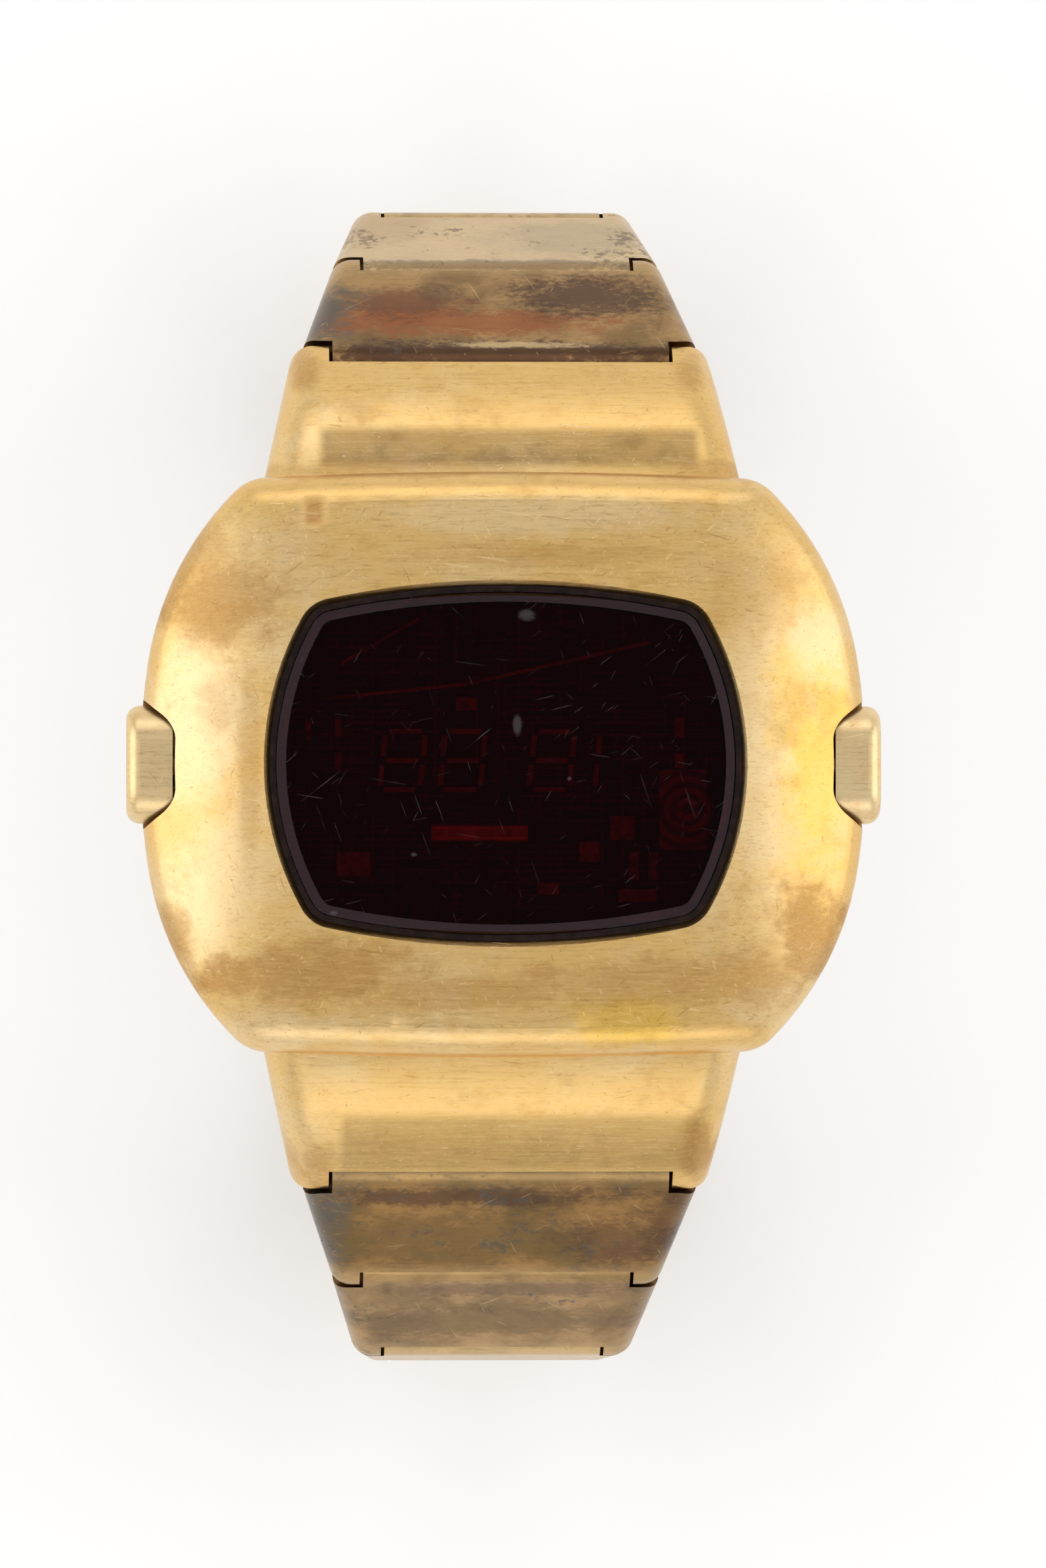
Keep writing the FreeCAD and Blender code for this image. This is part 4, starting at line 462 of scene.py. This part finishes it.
def link_gold(name, pin, angle, side, look, seed):
    """Tarnished gold of one link, laid out along the link from its own pin, with painted shade and a
    painted highlight on the first upper link's knuckle.
    """
    tone = look["tone"]
    material, tree, shader = new_material("band_gold_" + name)
    place = in_mm(tree)
    centred = node(tree, "VectorMath", {0: place, 1: (0.0, pin[1] / MM, pin[2] / MM)},
                   operation="SUBTRACT").outputs[0]
    local = turned_and_scaled(tree, centred, turn=(side * angle, 0, 0))
    moved = turned_and_scaled(tree, local, shift=(seed * 7.3, seed * 3.1, 0.0))
    split = node(tree, "SeparateXYZ", {0: local})
    along = maths(tree, "MULTIPLY", split.outputs["Y"], float(side))
    grain = use(tree, grain_group, Vector=moved, Pitch=8.0)
    finer = turned_and_scaled(tree, moved, scale=SCRATCH_FINENESS)
    scratches = use(tree, scratch_group, Vector=finer, Amount=0.45)["Mask"]
    specks = use(tree, speckle_group, Vector=moved, Amount=look["patina"], Size=2.4)["Mask"]
    clouds = noise(tree, moved, 0.22, 5.0, 0.62)
    blotches = noise(tree, moved, 0.36, 6.0, 0.66, 0.5)
    color = blend(tree, tone, PALE_TAN, BRONZE)
    color = blend(tree, maths(tree, "MULTIPLY", spread(tree, clouds, 0.40, 0.62), tone), color, OLIVE)
    dark = maths(tree, "MULTIPLY", spread(tree, blotches, 0.50, 0.66), look["stain"])
    color = blend(tree, dark, color, PURPLE_BROWN)
    for number, (patch_color, middle, reach, strength) in enumerate(LINK_PATCHES.get(name, ())):
        mask = use(tree, patch_group, Vector=local, Centre=(middle[0], side * middle[1], 0.0),
                   Reach=(reach[0], reach[1], 60.0), Raggedness=0.55, Grit=LINK_GRIT,
                   Seed=seed * 13.0 + number * 29.0)["Mask"]
        color = blend(tree, maths(tree, "MULTIPLY", mask, strength), color, patch_color)
    color = blend(tree, maths(tree, "MULTIPLY", specks, 0.55), color, PATINA)
    far_end = maths(tree, "MULTIPLY", spread(tree, along, 7.0, 8.8), look["far"])
    near_end = maths(tree, "MULTIPLY", spread(tree, along, 0.4, -0.9), look["near"])
    color = blend(tree, maths(tree, "MAXIMUM", far_end, near_end), color, PALE_TAN)
    dark_lines = spread(tree, grain["Tone"], 0.45, 0.0)
    color = blend(tree, maths(tree, "MULTIPLY", dark_lines, DARK_LINE_STRENGTH), color, PURPLE_BROWN)
    color = blend(tree, maths(tree, "MULTIPLY", scratches, LINK_SCRATCH_STRENGTH), color, PALE_TAN)
    tree.links.new(color, shader.inputs["Base Color"])
    rough = maths(tree, "ADD", 0.26, maths(tree, "MULTIPLY", specks, 0.22))
    rough = maths(tree, "ADD", rough, maths(tree, "MULTIPLY", dark, 0.14))
    rough = maths(tree, "ADD", rough, maths(tree, "MULTIPLY", grain["Tone"], 0.08))
    tree.links.new(rough, shader.inputs["Roughness"])
    shader.inputs["Metallic"].default_value = 1.0
    normal = bump(tree, grain["Height"], 0.12, 0.02)
    normal = bump(tree, scratches, 0.30, -0.03, normal)
    normal = bump(tree, specks, 0.20, -0.02, normal)
    tree.links.new(normal, shader.inputs["Normal"])
    return material


# The window and what lies behind it.

RUBY = (0.27, 0.005, 0.010, 1)
RUBY_HAZE = (0.20, 0.004, 0.008, 1)

# Chips in the crystal's face: middle and reach.
CRYSTAL_CHIPS = (
    ((0.6, 2.1), (0.22, 0.50)),
    ((-5.05, -5.0), (0.16, 0.10)),
    ((3.45, -0.85), (0.10, 0.10)),
    ((1.1, 8.1), (0.45, 0.30)),
    ((-9.4, -8.2), (0.20, 0.12)),
)
CHIP_STRENGTH = 0.35


def ruby_glass():
    """Dark ruby crystal with pale hairline scratches, specks and a few chips in its face."""
    material, tree, shader = new_material("ruby_crystal")
    where = in_mm(tree)
    finer = turned_and_scaled(tree, where, scale=(2.4, 2.4, 2.4))
    scratches = use(tree, scratch_group, Vector=finer, Amount=0.42)["Mask"]
    gate = spread(tree, noise(tree, where, 0.16, 3.0, 0.6), 0.40, 0.60, 0.15, 1.0)
    specks = spread(tree, noise(tree, where, 2.8, 3.0, 0.75), 0.74, 0.79)
    marks = maths(tree, "MAXIMUM", maths(tree, "MULTIPLY", scratches, 0.50), specks)
    marks = maths(tree, "MULTIPLY", marks, gate)
    for number, (middle, reach) in enumerate(CRYSTAL_CHIPS):
        chip = use(tree, patch_group, Vector=where, Centre=(middle[0], middle[1], GIRTH / MM),
                   Reach=(reach[0], reach[1], 60.0), Raggedness=0.25, Seed=number * 31.0)["Mask"]
        marks = maths(tree, "MAXIMUM", marks, maths(tree, "MULTIPLY", chip, CHIP_STRENGTH))
    haze = spread(tree, noise(tree, where, 0.35, 4.0, 0.6), 0.45, 0.75)
    color = blend(tree, haze, RUBY, RUBY_HAZE)
    tree.links.new(color, shader.inputs["Base Color"])
    rough = maths(tree, "ADD", 0.03, maths(tree, "MULTIPLY", haze, 0.04))
    tree.links.new(rough, shader.inputs["Roughness"])
    tree.links.new(marks, shader.inputs["Coat Weight"])
    shader.inputs["Coat Roughness"].default_value = 0.42
    shader.inputs["Coat IOR"].default_value = 2.1
    shader.inputs["Coat Tint"].default_value = (0.95, 0.86, 0.92, 1)
    shader.inputs["Transmission Weight"].default_value = 1.0
    shader.inputs["IOR"].default_value = 1.52
    shader.inputs["Specular IOR Level"].default_value = 0.08
    shader.inputs["Specular Tint"].default_value = (0.50, 0.34, 0.42, 1)
    normal = bump(tree, scratches, 0.3, -0.01)
    tree.links.new(normal, shader.inputs["Normal"])
    return material


TRACE = (0.13, 0.05, 0.03, 1)
BOARD = (0.018, 0.009, 0.009, 1)
BOARD_STAIN = (0.034, 0.014, 0.012, 1)

# Sets of printed lines: turn in degrees, row height, length of a run and scale.
BOARD_LINES = (
    (0, 0.42, 1.9, 0.62),
    (90, 0.55, 2.6, 0.48),
    (0, 0.30, 3.1, 0.85),
)


def traced_board():
    """The dark board, with printed lines that run square to each other."""
    material, tree, shader = new_material("traced_board")
    where = in_mm(tree)
    lines = None
    for turn, row, width, scale in BOARD_LINES:
        placed = turned_and_scaled(tree, where, turn=(0, 0, turn), shift=(turn * 0.11, row * 9.0, 0))
        bricks = node(tree, "TexBrick", {"Vector": placed, "Scale": scale, "Mortar Size": 0.035,
                                         "Mortar Smooth": 0.1, "Brick Width": width, "Row Height": row})
        gate = spread(tree, noise(tree, placed, 0.30, 2.0, 0.5), 0.50, 0.53)
        shown = maths(tree, "MULTIPLY", bricks.outputs["Fac"], gate)
        lines = shown if lines is None else maths(tree, "MAXIMUM", lines, shown)
    mottle = spread(tree, noise(tree, where, 0.9, 5.0, 0.62), 0.38, 0.66)
    color = blend(tree, mottle, BOARD, BOARD_STAIN)
    color = blend(tree, lines, color, TRACE)
    tree.links.new(color, shader.inputs["Base Color"])
    tree.links.new(spread(tree, lines, 0.0, 1.0, 0.55, 0.30), shader.inputs["Roughness"])
    tree.links.new(bump(tree, lines, 0.5, 0.03), shader.inputs["Normal"])
    return material


def ringed_ceramic(node_name, light, dark, pitch_mm):
    """A turned ceramic disc with rings about its own middle."""
    material, tree, shader = new_material("ringed_ceramic")
    where = in_mm(tree)
    low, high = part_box(node_name)
    middle = [(low[axis] + high[axis]) / 2 / MM for axis in range(3)]
    offset = node(tree, "VectorMath", {0: where, 1: middle}, operation="SUBTRACT").outputs[0]
    flat = node(tree, "VectorMath", {0: offset, 1: (1.0, 1.0, 0.0)}, operation="MULTIPLY").outputs[0]
    radius = node(tree, "VectorMath", {0: flat}, operation="LENGTH").outputs["Value"]
    wave = maths(tree, "SINE", maths(tree, "MULTIPLY", radius, 2 * math.pi / pitch_mm))
    rings = spread(tree, wave, -0.3, 0.5)
    mottle = noise(tree, where, 2.2, 4.0, 0.6)
    color = blend(tree, rings, light, dark)
    color = blend(tree, maths(tree, "MULTIPLY", mottle, 0.4), color, dark)
    tree.links.new(color, shader.inputs["Base Color"])
    tree.links.new(spread(tree, mottle, 0.3, 0.7, 0.30, 0.55), shader.inputs["Roughness"])
    tree.links.new(bump(tree, rings, 0.4, 0.04), shader.inputs["Normal"])
    return material


def plain_finish(name, color, dark, metallic, roughness, mottle_scale=1.2, grain_pitch=9.0, scratch=0.3,
                 shine=0.5):
    """A finish with a mottled tone, faint grain and scratches, for the smaller pieces."""
    material, tree, shader = new_material(name)
    shader.inputs["Specular IOR Level"].default_value = shine
    where = in_mm(tree)
    grain = use(tree, grain_group, Vector=where, Pitch=grain_pitch)
    scratches = use(tree, scratch_group, Vector=where, Amount=scratch)["Mask"]
    mottle = spread(tree, noise(tree, where, mottle_scale, 5.0, 0.62), 0.38, 0.66)
    mixed = blend(tree, mottle, color, dark)
    mixed = blend(tree, maths(tree, "MULTIPLY", grain["Tone"], 0.35), mixed, dark)
    mixed = blend(tree, maths(tree, "MULTIPLY", scratches, 0.25), mixed, color)
    tree.links.new(mixed, shader.inputs["Base Color"])
    rough = maths(tree, "ADD", roughness, maths(tree, "MULTIPLY", mottle, 0.05))
    rough = maths(tree, "ADD", rough, maths(tree, "MULTIPLY", grain["Tone"], 0.08))
    rough = maths(tree, "ADD", rough, maths(tree, "MULTIPLY", scratches, 0.10))
    tree.links.new(rough, shader.inputs["Roughness"])
    shader.inputs["Metallic"].default_value = metallic
    normal = bump(tree, grain["Height"], 0.22, 0.02)
    normal = bump(tree, scratches, 0.25, -0.02, normal)
    tree.links.new(normal, shader.inputs["Normal"])
    return material


def dress(node_name, material):
    """Give a CAD node its finish."""
    piece = frame["nodes"][node_name]
    if not piece.material_slots:
        piece.data.materials.append(material)
    for slot in piece.material_slots:
        slot.link = "OBJECT"
        slot.material = material


def dress_links():
    joints = {joint["name"]: joint for joint in frame["joints"]}
    seed = 1
    for half, side in (("upper", 1), ("lower", -1)):
        places = [joints["%s_hinge_%d" % (half, number)]["pos_m"] for number in range(1, 7)]
        last = "clasp_hinge" if half == "upper" else "tongue_hinge"
        places.append(joints[last]["pos_m"])
        for number in range(1, 7):
            pin = places[number - 1]
            following = places[number]
            angle = math.degrees(math.atan2(pin[2] - following[2], side * (following[1] - pin[1])))
            name = "%s_link_%d" % (half, number)
            look = LINK_LOOKS.get(name, PLAIN_LINK)
            dress(name, link_gold(name, pin, angle, side, look, seed))
            seed += 1


def dress_everything():
    case_gold = worn_gold_and_painted_light("case_gold", True, 0.55)
    button_gold = worn_gold_and_painted_light("button_gold", False, 0.45, 0.85)
    clasp_gold = worn_gold_and_painted_light("clasp_gold", False, 0.80)
    rubber = plain_finish("gasket_rubber", (0.008, 0.005, 0.005, 1), (0.022, 0.012, 0.010, 1), 0.0, 0.75,
                          shine=0.10)
    steel = plain_finish("back_steel", (0.56, 0.54, 0.50, 1), (0.49, 0.465, 0.425, 1), 1.0, 0.26,
                         mottle_scale=0.25, grain_pitch=8.0, scratch=0.6)
    turned_steel = plain_finish("hatch_steel", (0.60, 0.58, 0.54, 1), (0.52, 0.50, 0.46, 1), 1.0, 0.22,
                                mottle_scale=0.4)
    wire_steel = plain_finish("pin_steel", (0.45, 0.42, 0.37, 1), (0.25, 0.20, 0.15, 1), 1.0, 0.35)
    magnet = plain_finish("magnet_grey", (0.20, 0.20, 0.21, 1), (0.10, 0.10, 0.10, 1), 1.0, 0.45)
    cell = plain_finish("cell_nickel", (0.75, 0.74, 0.72, 1), (0.60, 0.58, 0.55, 1), 1.0, 0.20)
    plated = plain_finish("gold_flash", (0.85, 0.62, 0.28, 1), (0.65, 0.42, 0.16, 1), 1.0, 0.25)
    dull_wire = plain_finish("dull_wire", (0.50, 0.33, 0.15, 1), (0.26, 0.16, 0.07, 1), 1.0, 0.40)
    tray = plain_finish("tray_plastic", (0.03, 0.03, 0.03, 1), (0.06, 0.055, 0.05, 1), 0.0, 0.5)
    board = traced_board()
    digits = plain_finish("digit_bars", (0.50, 0.30, 0.26, 1), (0.30, 0.16, 0.15, 1), 0.0, 0.40, 3.0)
    epoxy = plain_finish("chip_epoxy", (0.04, 0.04, 0.04, 1), (0.07, 0.07, 0.07, 1), 0.0, 0.4)
    can = plain_finish("can_metal", (0.75, 0.66, 0.52, 1), (0.50, 0.40, 0.30, 1), 1.0, 0.3)
    ceramic = plain_finish("component_ceramic", (0.50, 0.36, 0.24, 1), (0.22, 0.14, 0.09, 1), 0.0, 0.5, 2.6)
    trimmer = ringed_ceramic("trimmer", (0.46, 0.32, 0.20, 1), (0.14, 0.09, 0.06, 1), 0.62)
    glass_tube = plain_finish("reed_glass", (0.45, 0.60, 0.48, 1), (0.35, 0.5, 0.4, 1), 0.0, 0.15)
    finishes = {
        "case_shell": case_gold, "button_right": button_gold, "button_left": button_gold,
        "clasp_body": clasp_gold, "clasp_tongue": clasp_gold, "crystal": ruby_glass(),
        "crystal_gasket": rubber, "back_gasket": rubber, "button_seals": rubber,
        "hatch_seal_right": rubber, "hatch_seal_left": rubber, "case_back": steel,
        "back_screws": turned_steel, "battery_hatch_right": turned_steel,
        "battery_hatch_left": turned_steel, "clasp_lid": steel, "catch_slide": turned_steel,
        "battery_cells": cell, "battery_contacts": plated, "module_frame": tray,
        "display_board": board, "led_digits": digits, "logic_chip": epoxy, "quartz_can": can,
        "trimmer": trimmer, "chip_components": ceramic, "board_wires": dull_wire,
        "reed_switches": glass_tube, "setting_magnet": magnet, "button_magnet_right": magnet,
        "button_magnet_left": magnet, "button_spring_right": wire_steel,
        "button_spring_left": wire_steel, "lug_bar_upper": wire_steel, "lug_bar_lower": wire_steel,
    }
    for half in ("upper", "lower"):
        for number in range(1, 7):
            finishes["%s_pin_%d" % (half, number)] = wire_steel
    for name, material in finishes.items():
        dress(name, material)
    dress_links()


# The studio: a pale floor, and a soft light on the left, right, far and near side, each given by
# its place, its width and depth, and its power in watts. No light shows itself to the camera.

FLOOR_HALF = 12.0
FLOOR_COLOR = (0.97, 0.97, 0.97, 1)
FLOOR_ROUGHNESS = 0.9
SOFTBOXES = (
    ("left_softbox", (-0.42, 0.02, 0.26), (0.50, 0.40), 0.66),
    ("right_softbox", (0.42, 0.02, 0.26), (0.50, 0.40), 0.60),
    ("far_softbox", (0.0, 0.45, 0.36), (0.60, 0.30), 0.46),
    ("near_softbox", (0.0, -0.45, 0.36), (0.60, 0.30), 0.40),
)


def area_light(name, place, aim, size, power):
    light = bpy.data.lights.new(name, "AREA")
    light.shape = "RECTANGLE"
    light.size = size[0]
    light.size_y = size[1]
    light.energy = power
    thing = bpy.data.objects.new(name, light)
    thing.location = place
    thing.rotation_euler = (Vector(aim) - Vector(place)).to_track_quat("-Z", "Y").to_euler()
    thing.visible_camera = False
    bpy.context.scene.collection.objects.link(thing)


# The soft overhead light: the lens looks through a hole in its middle, given as cosines from
# straight up, and a dark gap on the far and near side parts it from the lights there.
HOLE_EDGE = (0.988, 0.996)
HOLE_DEPTH = 0.90
GAP_INNER = (0.26, 0.42)
GAP_OUTER = (0.66, 0.80)
GAP_DEPTH = 0.42
ABOVE_HORIZON = (0.20, 0.50)
SKY = (1.0, 0.995, 0.985, 1)
SKY_DARK = (0.05, 0.05, 0.05, 1)
SKY_STRENGTH = 0.92


def build_studio():
    mesh = bpy.data.meshes.new("floor")
    half = FLOOR_HALF
    mesh.from_pydata([(-half, -half, 0), (half, -half, 0), (half, half, 0), (-half, half, 0)], [],
                     [(0, 1, 2, 3)])
    floor = bpy.data.objects.new("floor", mesh)
    bpy.context.scene.collection.objects.link(floor)
    material, tree, shader = new_material("floor_paper")
    shader.inputs["Base Color"].default_value = FLOOR_COLOR
    shader.inputs["Roughness"].default_value = FLOOR_ROUGHNESS
    floor.data.materials.append(material)

    for name, place, size, power in SOFTBOXES:
        area_light(name, place, (0, 0, GIRTH), size, power)

    world = bpy.data.worlds.new("studio")
    bpy.context.scene.world = world
    world.use_nodes = True
    tree = world.node_tree
    background = tree.nodes["Background"]
    coords = node(tree, "TexCoord")
    way = node(tree, "SeparateXYZ", {0: coords.outputs["Generated"]}).outputs
    lens_hole = spread(tree, way["Z"], HOLE_EDGE[0], HOLE_EDGE[1])
    aside = maths(tree, "ABSOLUTE", way["Y"])
    past_top = spread(tree, aside, GAP_INNER[0], GAP_INNER[1])
    before_lights = spread(tree, aside, GAP_OUTER[1], GAP_OUTER[0])
    above = spread(tree, way["Z"], ABOVE_HORIZON[0], ABOVE_HORIZON[1])
    gap = maths(tree, "MULTIPLY", maths(tree, "MULTIPLY", past_top, before_lights), above)
    lens_hole = maths(tree, "MULTIPLY", lens_hole, HOLE_DEPTH)
    dark = maths(tree, "MAXIMUM", lens_hole, maths(tree, "MULTIPLY", gap, GAP_DEPTH))
    color = blend(tree, dark, SKY, SKY_DARK)
    tree.links.new(color, background.inputs["Color"])
    background.inputs["Strength"].default_value = SKY_STRENGTH


def build_camera():
    aim = Vector((AIM_X, AIM_Y, GIRTH))
    lean = Vector((math.sin(CAMERA_LEAN_X), math.sin(CAMERA_LEAN_Y), 1.0)).normalized()
    place = aim + lean * CAMERA_DISTANCE
    forward = (aim - place).normalized()
    right = forward.cross(Vector((0, 1, 0))).normalized()
    up = right.cross(forward)
    data = bpy.data.cameras.new("photo_camera")
    camera = bpy.data.objects.new("photo_camera", data)
    camera.matrix_world = Matrix((
        (right.x, up.x, -forward.x, place.x),
        (right.y, up.y, -forward.y, place.y),
        (right.z, up.z, -forward.z, place.z),
        (0, 0, 0, 1)))
    data.sensor_fit = "VERTICAL"
    data.sensor_height = SENSOR
    seen_height = PHOTO_HEIGHT / PHOTO_SCALE * MM
    data.lens = SENSOR * CAMERA_DISTANCE / seen_height
    data.clip_start = LENS_NEAR
    data.clip_end = LENS_FAR
    bpy.context.scene.collection.objects.link(camera)
    bpy.context.scene.camera = camera


dress_everything()
build_studio()
build_camera()
bpy.context.scene.view_settings.view_transform = "Standard"
